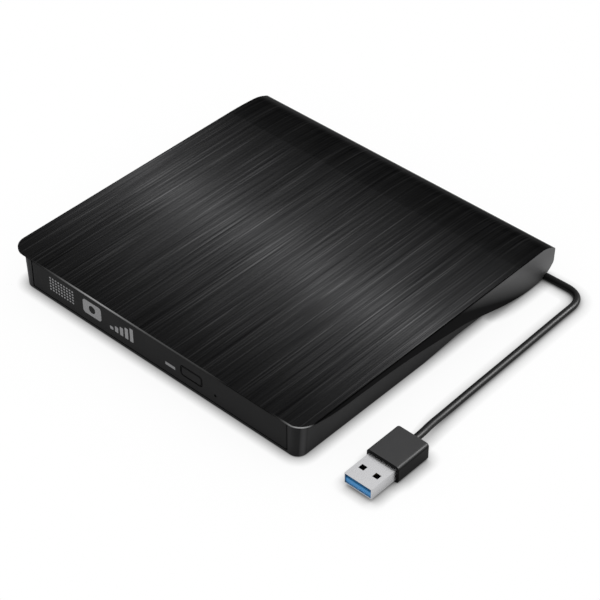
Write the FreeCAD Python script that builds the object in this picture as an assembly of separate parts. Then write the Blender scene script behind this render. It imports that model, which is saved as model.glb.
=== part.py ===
import FreeCAD, Part
import math
import os

# External disc drive with a pull-out tray, a curved rear nose and a captive lead.
# Frame: +X right seen from the front, +Y to the rear, +Z up; millimetres.
# The origin lies on the table, under the middle of the body.
# Plan positions are given as X and as the distance behind the cover's front edge.

V = FreeCAD.Vector

# Whole body
BODY_WIDTH = 146.0
BODY_DEPTH = 140.9
BODY_HEIGHT = 16.9
FRONT = -BODY_DEPTH / 2
REAR = BODY_DEPTH / 2

# Cover: a thin overhanging plate whose ends swell into the closed nose at the rear
LIP = 0.65
LIP_CHAMFER = 0.25
COVER_LEAN = 0.02
COVER_FRONT_RADIUS = 6.8
COVER_REAR_RADIUS = 1.6
PARTING_HEIGHT = 5.7
PART_GAP = 0.1
PAD_START = 7.0
PAD_END = BODY_DEPTH - 27.3
PAD_OVERLAP = 0.1

# Bottom case
CASE_SETBACK = 2.15
CASE_SIDE_INSET = 2.7
CASE_LEAN = 0.05
CASE_RADIUS = 4.1
CASE_WALL = 1.6
CASE_FRONT_WALL = 1.8
CASE_BOTTOM = 0.4
CASE_FLOOR = 1.5
CAVITY_END = BODY_DEPTH - 5.6
SILL_GAP = 0.25
BEVEL_BACK = (68.0, 87.0, 106.0, 118.0)
BEVEL_REACH = (-0.05, 2.0, 2.0, -0.05)
BEVEL_SLOPE = 0.73
BEVEL_SPARE = 1.0
RIB_THICKNESS = 1.0
RIB_TOP = 13.0
RIB_PLACES = (26.0, 46.0, 66.0, 86.0, 102.0)

# Feet and case screws
FOOT_RADIUS = 4.5
FOOT_RECESS = 0.6
FOOT_CHAMFER = 0.25
FOOT_X = 56.0
FOOT_BACK = (17.0, BODY_DEPTH - 33.3)
SCREW_X = BODY_WIDTH / 2 - 6.95
SCREW_BACK = (14.0, BODY_DEPTH - 29.5)
SCREW_RADIUS = 0.85
SCREW_HEAD_RADIUS = 1.6
SCREW_HEAD = 0.8
SCREW_RECESS = 1.2
SCREW_LENGTH = 7.4
SCREW_PLAY = 0.1
POST_RADIUS = 1.8
POST_TOP = 4.2

# Slim drive inside
DRIVE_WIDTH = 128.0
DRIVE_START = 6.0
DRIVE_END = BODY_DEPTH - 12.1
DRIVE_HEIGHT = 12.7
PAN_SHEET = 0.6
LID_SHEET = 0.5
LID_FLANGE = 1.2
LID_GAP = 0.4
LID_RECESS = 0.2
LID_RECESS_RADIUS = 57.0
LID_SCREWS = (60.5, 9.0)
LID_SCREW_HOLE = 1.0
PAN_STEP = DRIVE_END - 13.4
PAN_RISE = 1.0
PAN_WINDOWS = ((14.0, 34.0, 30.0, 58.0), (-52.0, -30.0, 74.0, 96.0))
BEADS_X = (-26.0, 6.0, 38.0)
BEAD_WIDTH = 3.0
BEAD_DEPTH = 0.25
BEAD_BACK = (66.0, 98.0)
FOAM_X = (-48.0, 32.0)
FOAM_WIDTH = 18.0
FOAM_BACK = (14.0, 24.0)

# Boards and connectors at the rear
BOARD_START = DRIVE_END - 25.4
BOARD_END = DRIVE_END - 1.6
BOARD_SHEET = 0.8
BOARD_X = (-44.0, 57.0)
BOARD_CORNER = (5.0, 9.8)
STANDOFFS_X = (-40.0, 10.0, 50.0)
STANDOFF_HALF = 1.6
SATA_BLADE_Z = 6.1
SATA_BLADE = 0.5
SATA_BLADES_X = ((-41.6, -34.4), (-31.1, -10.9))
SATA_PLUG_X = (-45.0, -7.0)
SATA_SOCKET_X = (-44.0, -8.0)
SATA_MARGIN = 0.4
BRIDGE_X = (-46.0, 20.0)
BRIDGE_Z = (4.4, 11.6)
BRIDGE_GAP = 3.6
BRIDGE_SHEET = 1.0
FLEX_X = (-20.0, 0.0)
FLEX_SHEET = 0.15
FLEX_FOLD = 36.0

# Bezel
BEZEL_WIDTH = 128.0
BEZEL_BOTTOM = 1.55
BEZEL_SKIN = 1.6
BEZEL_RIM = 1.4
BEZEL_DEPTH = 3.05
BEZEL_SIDE_GAP = 0.35
BEZEL_TOP_GAP = 0.3
BEZEL_CORNER = 0.8
BEZEL_CHAMFER = 0.3
BEZEL_RIBS_X = (-40.0, -14.0, 40.0)
BEZEL_RIB = 1.2
BUTTON_CENTRE = (18.65, 7.25)
BUTTON_SIZE = (9.6, 3.6)
BUTTON_GAP = 0.2
BUTTON_TRAVEL = 0.5
BUTTON_CORNER = 1.0
BUTTON_CHAMFER = 0.2
BUTTON_FLANGE = 0.8
BUTTON_FLANGE_SHEET = 0.7
BUTTON_STEM = (3.0, 2.0)
PROUD = 0.05
LIGHT_CENTRE = (8.2, 5.8)
LIGHT_SIZE = (4.9, 1.25)
LIGHT_FLANGE = (6.1, 2.05)
LIGHT_REACH = 1.9
PINHOLE = (30.3, 5.2)
PINHOLE_RADIUS = 0.6
SWITCH_FACE = 7.9
SWITCH_HALF = 3.0
FRONT_BOARD_TOP = 4.4
FRONT_BOARD_X = (4.0, 27.0)
FRONT_BOARD_BACK = (7.0, 17.0)

# Tray and disc seat
TRAY_HALF = 61.2
TRAY_END = DRIVE_END - 1.2
TRAY_TOP = 12.4
TRAY_PLATE = 8.3
TRAY_BOTTOM = 3.3
TRAY_WALL = 1.6
TRAY_CORNER = 1.5
TRAY_FLOOR_SHEET = 0.3
TRAY_FLOOR_X = (-58.0, 36.7)
SPINDLE = (1.2, 66.6)
DISC_SEAT_RADIUS = 60.4
DISC_SEAT_Z = 10.0
SMALL_SEAT_RADIUS = 40.3
SMALL_SEAT_Z = 9.5
FINGER_RELIEF = (50.0, 30.0)
MECHANISM_GAP = 0.5
LENS_CLEARANCE = 0.6
SKIRT_END = BOARD_START - 4.0
SKIRT_WALL = 1.2
SCREEN_WALL_X = 36.9
RUNNER_OUT = 0.9
RUNNER_ROOT = 2.4
RUNNER_Z = (6.3, 7.7)
RUNNER_START = 8.2
RUNNER_END = TRAY_END - 2.2
VENTS_X = (-44.0, -12.0, 20.0)
VENT_SIZE = (22.0, 5.0)
VENT_START = TRAY_END - 14.2

# Telescopic rails
SLIDE_GAP = 0.2
RAIL_SHEET = 0.5
RAIL_FLANGE_X = 61.45
RAIL_WEB_X = 62.3
RAIL_LENGTH = 116.0
RAIL_HOLE = (12.0, 0.5)
GUIDE_WEB = 0.4
GUIDE_LIP = 0.8
GUIDE_LENGTH = 110.0
GUIDE_NOTCHES = (18.0, 54.0, 90.0)
GUIDE_NOTCH = 8.0
RAIL_BOTTOM = RUNNER_Z[0] - SLIDE_GAP - RAIL_SHEET
RAIL_TOP = RUNNER_Z[1] + SLIDE_GAP + RAIL_SHEET

# Mechanism, in its own frame: u runs from the spindle along the pickup's path, v across it
SLED_ANGLE = 225.0
CHASSIS_U = (-16.0, 67.0)
CHASSIS_V = (-18.5, 22.8)
CHASSIS_WALL = 1.5
CHASSIS_Z = (3.9, 9.0)
CHASSIS_CHAMFER = 5.0
WELL_CHAMFER = 4.0
CHASSIS_FLOOR = 0.6
CROSSBAR_U = 12.3
ROD_Z = 6.4
ROD_V = 14.5
MAIN_ROD_RADIUS = 1.5
SIDE_ROD_RADIUS = 1.2
RUNNING_GAP = 0.05
COVER_PLATE = 0.4
COVER_HOLES = ((-12.5, 16.0), (60.5, -14.0), (30.0, 19.0))
COVER_HOLE_RADIUS = 1.2
LUGS = ((-19.0, 0.0), (50.0, -21.5), (45.0, 25.8))
LUG_Z = (5.0, 6.4)
LUG_RADIUS = 3.2
DAMPER_TOP = 6.9
DAMPER_BOTTOM = 4.5
DAMPER_RADIUS = 2.8
DAMPER_NECK = 1.9
DAMPER_SCREW = 0.9
DAMPER_SCREW_HEAD = 0.7

# Pickup and its lead screw
LENS_INNER = 24.0
LENS_OUTER = 58.0
LENS_WELL = (5.2, 6.2)
LENS_FRAME = (4.2, 5.0)
LENS_RADIUS = 2.6
LENS_OPENING = 2.2
LENS_SEAT_Z = 9.0
SLED_INNER = 10.0
SLED_OUTER = 7.0
SLED_HALF = 12.0
SLED_Z = (4.2, 8.7)
SLED_CORNER = 1.2
SLED_BLOCK_V = 16.8
SIDE_FORK_V = 16.0
FORK_HALF = 1.9
SCREW_V = 19.3
SCREW_END_U = 63.0
WORM_RADIUS = 1.25
NUT_GAP = 0.1
STEPPER_RADIUS = 1.85
STEPPER_LENGTH = 13.0
STEPPER_SHAFT = 0.6

# Spindle
MOTOR_RADIUS = 12.0
STATOR_RADIUS = 8.6
STATOR_TOP = 8.6
STATOR_SLOTS = 9
BEARING_RADIUS = 2.6
ROTOR_RADIUS = 11.2
ROTOR_SKIN = 0.8
ROTOR_BOTTOM = 5.4
TURNTABLE_RADIUS = 13.5
TURNTABLE_Z = 10.2
TURNTABLE_SHEET = 0.5
DISC_UNDERSIDE = 10.9
RING_WIDTH = 2.2
HUB_RADIUS = 7.4
HUB_TOP = 12.9
HUB_BEVEL = (0.9, 0.7)
HUB_BORE = 4.4
HUB_PIN = 2.4
DOG_WIDTH = 2.4
DOG_OUT = 0.35
DOG_GAP = 0.06
DOG_ANGLES = (0.0, 120.0, 240.0)
DOG_Z = (DISC_UNDERSIDE + 0.2, HUB_TOP - 0.3)
DOG_NOSE_Z = 12.35
SPINDLE_SHAFT = 1.0

# Latch
LATCH_PIN = (41.0, 19.0)
LATCH_PIN_RADIUS = 1.2
LATCH_PIVOT = (44.0, 12.0)
LATCH_PIVOT_RADIUS = 1.0
LATCH_HUB_RADIUS = 2.2
LATCH_Z = (5.0, 6.4)
LATCH_RELEASE = 15.0
LATCH_ARM = 12.0
LATCH_ARM_HALF = 1.2
LATCH_PUSH = 13.0
LINK_RADIUS = 0.6
PLUNGER_Z = LATCH_Z[1] + 0.55
PLUNGER_RADIUS = 0.9
PLUNGER_REACH = (2.0, 10.4)
SOLENOID_START = 4.0
SOLENOID_HALF = 3.2
SLIDER_HALF = 1.6
SLIDER_BAR_HALF = 0.8

# Eject pusher
PUSHER_X = -52.0
PUSHER_Z = 5.8
PUSHER_FACE = DRIVE_END - 24.8
PUSHER_END = DRIVE_END - 7.4
PUSHER_HEAD = 1.4
PUSHER_RADIUS = 1.25
PUSHER_COLLAR = 1.65
PUSHER_CHAMBER = 1.8
COLLAR_BACK = (DRIVE_END - 9.9, DRIVE_END - 8.9)
PUSHER_GUIDE_BACK = (DRIVE_END - 21.4, DRIVE_END - 2.4)
PUSHER_GUIDE_HALF = 3.2
CHAMBER_END = DRIVE_END - 3.4

# Lead and plug: centre points of the lead as (x, distance behind the front edge, z)
CORD_RADIUS = 1.45
LEAD_ROUTE = (
    (35.0, BODY_DEPTH - 7.2, 5.0),
    (43.0, BODY_DEPTH - 7.2, 5.0),
    (52.0, BODY_DEPTH - 6.6, 2.6),
    (61.5, BODY_DEPTH - 5.6, 1.5),
    (74.0, BODY_DEPTH - 5.2, 1.5),
    (90.5, BODY_DEPTH - 5.15, 1.5),
    (90.6, 119.0, 1.5),
    (91.25, 90.0, 1.5),
    (91.6, 66.0, 1.5),
    (92.2, 52.0, 1.9),
    (93.1, 43.0, 3.2),
    (94.0, 37.5, 3.75),
    (94.0, 32.6, 3.75),
)
PLUG_CENTRE = (94.4, 3.75)
PLUG_BODY = (14.2, 16.0, 7.5)
PLUG_BODY_START = 16.6
PLUG_CORNER = 1.4
PLUG_REAR_ROUNDING = 0.7
PLUG_SHELL = (12.0, 4.5)
PLUG_SHELL_SHEET = 0.3
PLUG_SHELL_TIP = 4.0
PLUG_SHELL_BURIED = 4.0
SHELL_WINDOW = (2.3, 2.2)
SHELL_WINDOW_X = 3.05
SHELL_WINDOW_BACK = 4.9
TONGUE_THICKNESS = 1.84
TONGUE_BACK = 0.5
TONGUE_ROOT = 3.5
POCKET_X = (26.0, 60.0)
POCKET_BACK = (BODY_DEPTH - 9.6, BODY_DEPTH - 4.5)
POCKET_TOP = 7.2
POCKET_WALL = 1.0
POCKET_END_WALL = 2.3
GROMMET_NECK = 1.9
GROMMET_FLANGE = 2.1
GROMMET_WALL = 1.1
GROOVE_GAP = 0.3


def back(distance):
    """Y of what lies this far behind the cover's front edge."""
    return FRONT + distance


def box(x0, x1, y0, y1, z0, z1):
    return Part.makeBox(x1 - x0, y1 - y0, z1 - z0, V(x0, y0, z0))


def cylinder(x, y, z0, z1, radius):
    return Part.makeCylinder(radius, z1 - z0, V(x, y, z0))


def rod(start, end, radius):
    """Cylinder from one point to another."""
    along = end.sub(start)
    return Part.makeCylinder(radius, along.Length, start, along)


def tube(start, end, outer, inner):
    return rod(start, end, outer).cut(rod(start, end, inner))


def rounded_outline(x0, x1, y0, y1, z, front_radius, rear_radius):
    """Closed outline of a rectangle with round corners, at one height."""
    f = front_radius
    r = rear_radius
    k = 1 - math.sqrt(0.5)
    edges = [
        Part.LineSegment(V(x0 + f, y0, z), V(x1 - f, y0, z)),
        Part.Arc(V(x1 - f, y0, z), V(x1 - f * k, y0 + f * k, z), V(x1, y0 + f, z)),
        Part.LineSegment(V(x1, y0 + f, z), V(x1, y1 - r, z)),
        Part.Arc(V(x1, y1 - r, z), V(x1 - r * k, y1 - r * k, z), V(x1 - r, y1, z)),
        Part.LineSegment(V(x1 - r, y1, z), V(x0 + r, y1, z)),
        Part.Arc(V(x0 + r, y1, z), V(x0 + r * k, y1 - r * k, z), V(x0, y1 - r, z)),
        Part.LineSegment(V(x0, y1 - r, z), V(x0, y0 + f, z)),
        Part.Arc(V(x0, y0 + f, z), V(x0 + f * k, y0 + f * k, z), V(x0 + f, y0, z)),
    ]
    return Part.Wire([edge.toShape() for edge in edges])


def rounded_block(x0, x1, y0, y1, z0, z1, radius):
    """Upright block with four round corners."""
    face = Part.Face(rounded_outline(x0, x1, y0, y1, z0, radius, radius))
    return face.extrude(V(0, 0, z1 - z0))


def facing_block(centre, size, y0, y1, radius):
    """Block that faces the front, round-cornered in the XZ plane; centre and size are (x, z)."""
    flat = rounded_block(-size[0] / 2, size[0] / 2, -size[1] / 2, size[1] / 2, 0, y1 - y0, radius)
    flat.rotate(V(0, 0, 0), V(1, 0, 0), 90)
    flat.translate(V(centre[0], y1, centre[1]))
    return flat


def leaning_block(half, lean, z_half, z0, z1, y0, y1, front_radius, rear_radius):
    """Block whose sides lean in towards the bottom; it is half wide at height z_half."""
    low = half - lean * (z_half - z0)
    high = half - lean * (z_half - z1)
    bottom = rounded_outline(-low, low, y0, y1, z0, front_radius, rear_radius)
    top = rounded_outline(-high, high, y0, y1, z1, front_radius, rear_radius)
    return Part.makeLoft([bottom, top], True, True)


def leaning_slab(half, lean, z_half, z0, z1, y0, y1):
    """Straight slab whose two sides lean in towards the bottom."""
    low = half - lean * (z_half - z0)
    high = half - lean * (z_half - z1)
    corners = [V(-low, y0, z0), V(low, y0, z0), V(high, y0, z1), V(-high, y0, z1)]
    return Part.Face(Part.makePolygon(corners + corners[:1])).extrude(V(0, y1 - y0, 0))


def bend(before, corner, after):
    """Radius of the arc at a corner, as large as its two runs allow, and half its turn."""
    towards = corner.sub(before)
    away = after.sub(corner)
    half_turn = towards.getAngle(away) / 2
    return 0.45 * min(towards.Length, away.Length) / math.tan(half_turn), half_turn


def rounded_path(points):
    """Straight runs joined by tangent arcs."""
    edges = []
    start = points[0]
    for before, corner, after in zip(points, points[1:], points[2:]):
        radius, half_turn = bend(before, corner, after)
        towards = corner.sub(before).normalize()
        away = after.sub(corner).normalize()
        trim = radius * math.tan(half_turn)
        arc_start = corner.sub(towards * trim)
        arc_end = corner.add(away * trim)
        inward = away.sub(towards).normalize()
        middle = corner.add(inward * (radius / math.cos(half_turn) - radius))
        edges.append(Part.LineSegment(start, arc_start).toShape())
        edges.append(Part.Arc(arc_start, middle, arc_end).toShape())
        start = arc_end
    edges.append(Part.LineSegment(start, points[-1]).toShape())
    return edges


def lines(points):
    return [Part.LineSegment(a, b).toShape() for a, b in zip(points, points[1:])]


def side_slab(edges, half):
    """Solid whose side view is the closed outline, from -half to half in X."""
    slab = Part.Face(Part.Wire(edges)).extrude(V(2 * half, 0, 0))
    slab.translate(V(-half, 0, 0))
    return slab


def polygon_slab(points, z0, z1):
    """Flat plate with a straight-sided plan outline."""
    corners = [V(x, y, z0) for x, y in points]
    face = Part.Face(Part.makePolygon(corners + corners[:1]))
    return face.extrude(V(0, 0, z1 - z0))


def export(name, shape):
    shape.exportStep(os.path.join("parts", name + ".step"))


# Heights that follow from the sizes above
LIP_UNDERSIDE = BODY_HEIGHT - LIP
FLOOR_TOP = CASE_BOTTOM + CASE_FLOOR
LID_TOP = FLOOR_TOP + DRIVE_HEIGHT
LID_UNDERSIDE = LID_TOP - LID_SHEET
PAN_TOP = FLOOR_TOP + PAN_SHEET
CEILING = LID_TOP + LID_GAP
BEZEL_FRONT = CASE_SETBACK
BEZEL_BACK = CASE_SETBACK + BEZEL_DEPTH
DRIVE_HALF = DRIVE_WIDTH / 2
MAIN_BOARD_TOP = PAN_TOP + PAN_RISE + BOARD_SHEET
SLIDER_END = back(LATCH_PIVOT[1]) - 0.1


def profile_point(distance, height):
    """Point of the side view, this far behind the cover's front edge."""
    return V(0, back(distance), height)


def underside_corners():
    """Corners of the nose's rear and underside, going forward; tangent arcs round them off."""
    return [
        profile_point(BODY_DEPTH, BODY_HEIGHT - 5.9),
        profile_point(BODY_DEPTH, 7.9),
        profile_point(BODY_DEPTH - 3.1, 3.85),
        profile_point(BODY_DEPTH - 8.1, 1.0),
    ]


def leaf_outline():
    """Side view of the cover: plate, falling rear, round nose, and the long belly to the front."""
    top = BODY_HEIGHT
    start = profile_point(BODY_DEPTH / 2, top)
    corners = [
        start,
        profile_point(BODY_DEPTH - 19.0, top),
        profile_point(BODY_DEPTH - 7.9, top - 0.75),
        profile_point(BODY_DEPTH - 1.9, top - 3.15),
    ]
    corners += underside_corners()
    corners += [
        profile_point(BODY_DEPTH - 17.5, 0.7),
        profile_point(BODY_DEPTH - 29.3, 2.5),
        profile_point(BODY_DEPTH - 53.0, top - 7.9),
        profile_point(BODY_DEPTH - 62.3, top - 6.8),
        profile_point(BODY_DEPTH - 88.8, top - 3.5),
        profile_point(16.9, top - 2.7),
        profile_point(5.2, LIP_UNDERSIDE),
    ]
    front = [
        corners[-1],
        profile_point(0, LIP_UNDERSIDE),
        profile_point(0, top - LIP_CHAMFER),
        profile_point(LIP_CHAMFER, top),
        start,
    ]
    return rounded_path(corners) + lines(front)


def nose_ceiling(gap):
    """Underside of the cover's skin where the nose falls away, front to rear."""
    return rounded_path([
        profile_point(BODY_DEPTH / 2, LIP_UNDERSIDE - gap),
        profile_point(BODY_DEPTH - 29.3, LIP_UNDERSIDE - gap),
        profile_point(BODY_DEPTH - 20.5, BODY_HEIGHT - 1.8 - gap),
        profile_point(BODY_DEPTH - 8.5, BODY_HEIGHT - 2.3 - gap),
        profile_point(BODY_DEPTH - 4.0 - gap, BODY_HEIGHT - 5.5 - gap),
    ])


def case_half(clearance):
    """Half the outer width of the bottom case at the top, grown by a clearance."""
    return BODY_WIDTH / 2 - CASE_SIDE_INSET + clearance


def ends(edges):
    """First and last point of a chain of edges."""
    return edges[0].Vertexes[0].Point, edges[-1].Vertexes[-1].Point


def case_space():
    """All that lies inside the cover: what is cut from it to leave its skins."""
    ceiling = nose_ceiling(0)
    front, rear = ends(ceiling)
    beyond = REAR + 5.0
    before = FRONT - 5.0
    below = -2.0
    outline = ceiling + lines([
        rear,
        V(0, rear.y, PARTING_HEIGHT),
        V(0, beyond, PARTING_HEIGHT),
        V(0, beyond, below),
        V(0, before, below),
        V(0, before, LIP_UNDERSIDE),
        front,
    ])
    half = case_half(PART_GAP)
    block = leaning_slab(half, CASE_LEAN, BODY_HEIGHT, below, BODY_HEIGHT, before, beyond)
    return side_slab(outline, BODY_WIDTH).common(block)


def cover_pad():
    """Thick middle of the cover, which presses on the foam over the drive's lid."""
    half = SCREW_X + POST_RADIUS
    return box(-half, half, back(PAD_START), back(PAD_END), CEILING, LIP_UNDERSIDE + PAD_OVERLAP)


def top_cover():
    leaf = side_slab(leaf_outline(), BODY_WIDTH / 2 + 5.0)
    block = leaning_block(
        BODY_WIDTH / 2, COVER_LEAN, BODY_HEIGHT, -1.0, BODY_HEIGHT + 1.0,
        FRONT, REAR + 0.01, COVER_FRONT_RADIUS, COVER_REAR_RADIUS,
    )
    cover = leaf.common(block).cut(case_space()).fuse(cover_pad())
    for x, y in screw_places():
        cover = cover.fuse(cylinder(x, y, POST_TOP + PART_GAP, CEILING + 0.5, POST_RADIUS))
        cover = cover.cut(cylinder(x, y, 0, SCREW_LENGTH + 2.0, SCREW_RADIUS))
    return cover.cut(lead_groove()).removeSplitter()


def screw_places():
    return [(side * SCREW_X, back(distance)) for side in (-1, 1) for distance in SCREW_BACK]


def foot_places():
    return [(side * FOOT_X, back(distance)) for side in (-1, 1) for distance in FOOT_BACK]


def case_outside():
    """Outer form of the bottom case: flat floor, rounded rise under the nose, leaning sides."""
    seam = PARTING_HEIGHT - PART_GAP
    front = CASE_SETBACK
    ceiling = nose_ceiling(PART_GAP)
    top_front, top_rear = ends(ceiling)
    corners = [profile_point(front, CASE_BOTTOM), profile_point(BODY_DEPTH - 17.0, CASE_BOTTOM)]
    corners += reversed(underside_corners())
    outline = ceiling + lines([top_rear, corners[-1]])
    outline += reversed(rounded_path(corners))
    outline += lines([corners[0], profile_point(front, LIP_UNDERSIDE - PART_GAP), top_front])
    slab = side_slab(outline, BODY_WIDTH)
    beyond = REAR + 10.0
    slab = slab.cut(box(-BODY_WIDTH, BODY_WIDTH, top_rear.y, beyond, seam, BODY_HEIGHT))
    block = leaning_block(
        case_half(0), CASE_LEAN, BODY_HEIGHT, 0, BODY_HEIGHT, back(front), beyond, CASE_RADIUS, 1.0,
    )
    case = slab.common(block)
    for side in (-1, 1):
        case = case.cut(mirrored(side_bevel(), side))
    return case


def side_bevel():
    """Wedge off the long bottom edge, growing to the rear, where the case lifts from the table."""
    edge = case_half(0) - CASE_LEAN * (BODY_HEIGHT - CASE_BOTTOM)
    low = CASE_BOTTOM - BEVEL_SPARE
    out = edge + BEVEL_SPARE
    sections = []
    for distance, reach in zip(BEVEL_BACK, BEVEL_REACH):
        y = back(distance)
        start = edge - reach - BEVEL_SPARE / BEVEL_SLOPE
        corners = [V(out, y, low), V(start, y, low), V(out, y, low + (out - start) * BEVEL_SLOPE)]
        sections.append(Part.makePolygon(corners + corners[:1]))
    return Part.makeLoft(sections, True, True)


def case_inside():
    """Hollow of the bottom case."""
    front = CASE_SETBACK + CASE_FRONT_WALL
    top = BODY_HEIGHT + 2.0
    corners = [
        profile_point(front, FLOOR_TOP),
        profile_point(BODY_DEPTH - 20.5, FLOOR_TOP),
        profile_point(BODY_DEPTH - 10.0, 2.5),
        profile_point(CAVITY_END, 4.6),
    ]
    closing = [corners[-1], profile_point(CAVITY_END, top), profile_point(front, top), corners[0]]
    outline = rounded_path(corners) + lines(closing)
    block = leaning_slab(case_half(-CASE_WALL), CASE_LEAN, BODY_HEIGHT, 1.0, top, FRONT, REAR)
    return side_slab(outline, BODY_WIDTH).common(block)


def lead_groove():
    """Round channel under the nose in which the lead leaves to the right."""
    height = LEAD_ROUTE[3][2]
    start = V(POCKET_X[1] - 2.0, back(BODY_DEPTH - 6.0), height)
    end = V(BODY_WIDTH / 2 + 2.0, back(BODY_DEPTH - 5.2), height)
    return rod(start, end, CORD_RADIUS + GROOVE_GAP)


def locating_ribs():
    """Upright ribs on both side walls that hold the drive in the middle."""
    ribs = []
    inner = DRIVE_HALF + 0.1
    outer = BODY_WIDTH / 2
    for side in (-1, 1):
        x0, x1 = sorted((side * inner, side * outer))
        for place in RIB_PLACES:
            y = back(place)
            ribs.append(box(x0, x1, y, y + RIB_THICKNESS, FLOOR_TOP - 0.2, RIB_TOP))
    return ribs


def pocket_space():
    """Space under the nose where the lead comes out of its grommet."""
    y0, y1 = POCKET_BACK
    return box(POCKET_X[0], POCKET_X[1], back(y0), back(y1), -1.0, POCKET_TOP)


def pocket_housing():
    """Walls round that space, inside the case."""
    x0 = POCKET_X[0] - POCKET_END_WALL
    x1 = POCKET_X[1] + POCKET_WALL
    y0 = back(POCKET_BACK[0] - POCKET_WALL)
    return box(x0, x1, y0, back(CAVITY_END + 0.1), FLOOR_TOP + 1.0, POCKET_TOP + POCKET_WALL)


def bottom_case():
    outside = case_outside()
    case = outside.cut(case_inside())
    extras = [pocket_housing()]
    extras += [cylinder(x, y, FLOOR_TOP - 0.3, POST_TOP, POST_RADIUS) for x, y in screw_places()]
    extras += [rib.common(outside) for rib in locating_ribs()]
    case = case.multiFuse(extras)
    opening = BEZEL_WIDTH / 2 + BEZEL_SIDE_GAP
    rear = back(BEZEL_BACK + 0.4)
    case = case.cut(box(-opening, opening, FRONT - 1, rear, BEZEL_BOTTOM - SILL_GAP, BODY_HEIGHT))
    case = case.cut(pocket_space())
    case = case.cut(lead_groove())
    inner, outer = grommet_axis()
    case = case.cut(rod(inner, outer, GROMMET_NECK))
    case = case.cut(rod(inner.sub(V(1, 0, 0)), inner.add(V(GROMMET_WALL, 0, 0)), GROMMET_FLANGE))
    below = CASE_BOTTOM - 1
    for x, y in screw_places():
        case = case.cut(cylinder(x, y, below, CASE_BOTTOM + SCREW_RECESS, SCREW_HEAD_RADIUS + 0.15))
        case = case.cut(cylinder(x, y, below, POST_TOP + 1, SCREW_RADIUS + SCREW_PLAY))
    for x, y in foot_places():
        case = case.cut(cylinder(x, y, below, CASE_BOTTOM + FOOT_RECESS, FOOT_RADIUS + 0.1))
    return case.removeSplitter()


def rubber_feet():
    feet = []
    for x, y in foot_places():
        foot = cylinder(x, y, 0, CASE_BOTTOM + FOOT_RECESS, FOOT_RADIUS)
        rim = [edge for edge in foot.Edges if abs(edge.BoundBox.ZMax) < 0.01]
        feet.append(foot.makeChamfer(FOOT_CHAMFER, rim))
    return Part.makeCompound(feet)


def case_screws():
    screws = []
    for x, y in screw_places():
        head_z = CASE_BOTTOM + SCREW_RECESS - SCREW_HEAD
        head = cylinder(x, y, head_z, head_z + SCREW_HEAD, SCREW_HEAD_RADIUS)
        shank = cylinder(x, y, head_z, head_z + SCREW_LENGTH, SCREW_RADIUS)
        screws.append(head.fuse(shank).removeSplitter())
    return Part.makeCompound(screws)


# Lead, its grommet and its plug
def grommet_axis():
    """Ends of the grommet's neck, inside and outside the pocket's end wall."""
    distance, z = LEAD_ROUTE[0][1:]
    inner = V(POCKET_X[0] - POCKET_END_WALL + 0.1, back(distance), z)
    return inner, V(POCKET_X[0] + 0.4, back(distance), z)


def cable_grommet():
    inner, outer = grommet_axis()
    wall = V(GROMMET_WALL, 0, 0)
    neck_radius = GROMMET_NECK - 0.05
    flange = rod(inner, inner.add(wall), GROMMET_FLANGE)
    neck = rod(inner, outer, neck_radius)
    reach = LEAD_ROUTE[0][0] - outer.x
    taper = Part.makeCone(neck_radius, CORD_RADIUS + 0.2, reach, outer, V(1, 0, 0))
    return flange.multiFuse([neck, taper]).removeSplitter()


def cable():
    points = [V(x, back(distance), z) for x, distance, z in LEAD_ROUTE]
    corners = zip(points, points[1:], points[2:])
    path = Part.Wire(rounded_path(points))
    along = points[1].sub(points[0])
    ring = Part.Wire([Part.Circle(points[0], along, CORD_RADIUS).toShape()])
    lead = path.makePipeShell([ring], True, False)
    section = math.pi * CORD_RADIUS ** 2
    print("lead length", round(path.Length, 1))
    print("bend radii", [round(bend(*corner)[0], 1) for corner in corners])
    print("lead volume over section times length", round(lead.Volume / (section * path.Length), 4))
    return lead


def plug_housing():
    width, length, height = PLUG_BODY
    x, z = PLUG_CENTRE
    y0 = back(PLUG_BODY_START)
    body = facing_block((x, z), (width, height), y0, y0 + length, PLUG_CORNER)
    rear = [edge for edge in body.Edges if edge.BoundBox.YMin > y0 + length - 0.01]
    seat_w, seat_h = [size / 2 for size in PLUG_SHELL]
    seat = box(x - seat_w, x + seat_w, y0 - 1, y0 + PLUG_SHELL_BURIED, z - seat_h, z + seat_h)
    return body.makeFillet(PLUG_REAR_ROUNDING, rear).cut(seat)


def plug_shell():
    width, height = PLUG_SHELL
    x, z = PLUG_CENTRE
    y0 = back(PLUG_SHELL_TIP)
    y1 = back(PLUG_BODY_START) + PLUG_SHELL_BURIED
    sheet = PLUG_SHELL_SHEET
    shell = box(x - width / 2, x + width / 2, y0, y1, z - height / 2, z + height / 2)
    inner = box(
        x - width / 2 + sheet, x + width / 2 - sheet, y0 - 1, y1 + 1,
        z - height / 2 + sheet, z + height / 2 - sheet,
    )
    shell = shell.cut(inner)
    half = SHELL_WINDOW[0] / 2
    w0 = y0 + SHELL_WINDOW_BACK
    for side in (-1, 1):
        middle = x + side * SHELL_WINDOW_X
        shell = shell.cut(box(middle - half, middle + half, w0, w0 + SHELL_WINDOW[1], 0, BODY_HEIGHT))
    return shell


def plug_tongue_space():
    width, height = PLUG_SHELL
    x, z = PLUG_CENTRE
    low = z - height / 2 + PLUG_SHELL_SHEET
    half = width / 2 - PLUG_SHELL_SHEET
    return x, half, low


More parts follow.
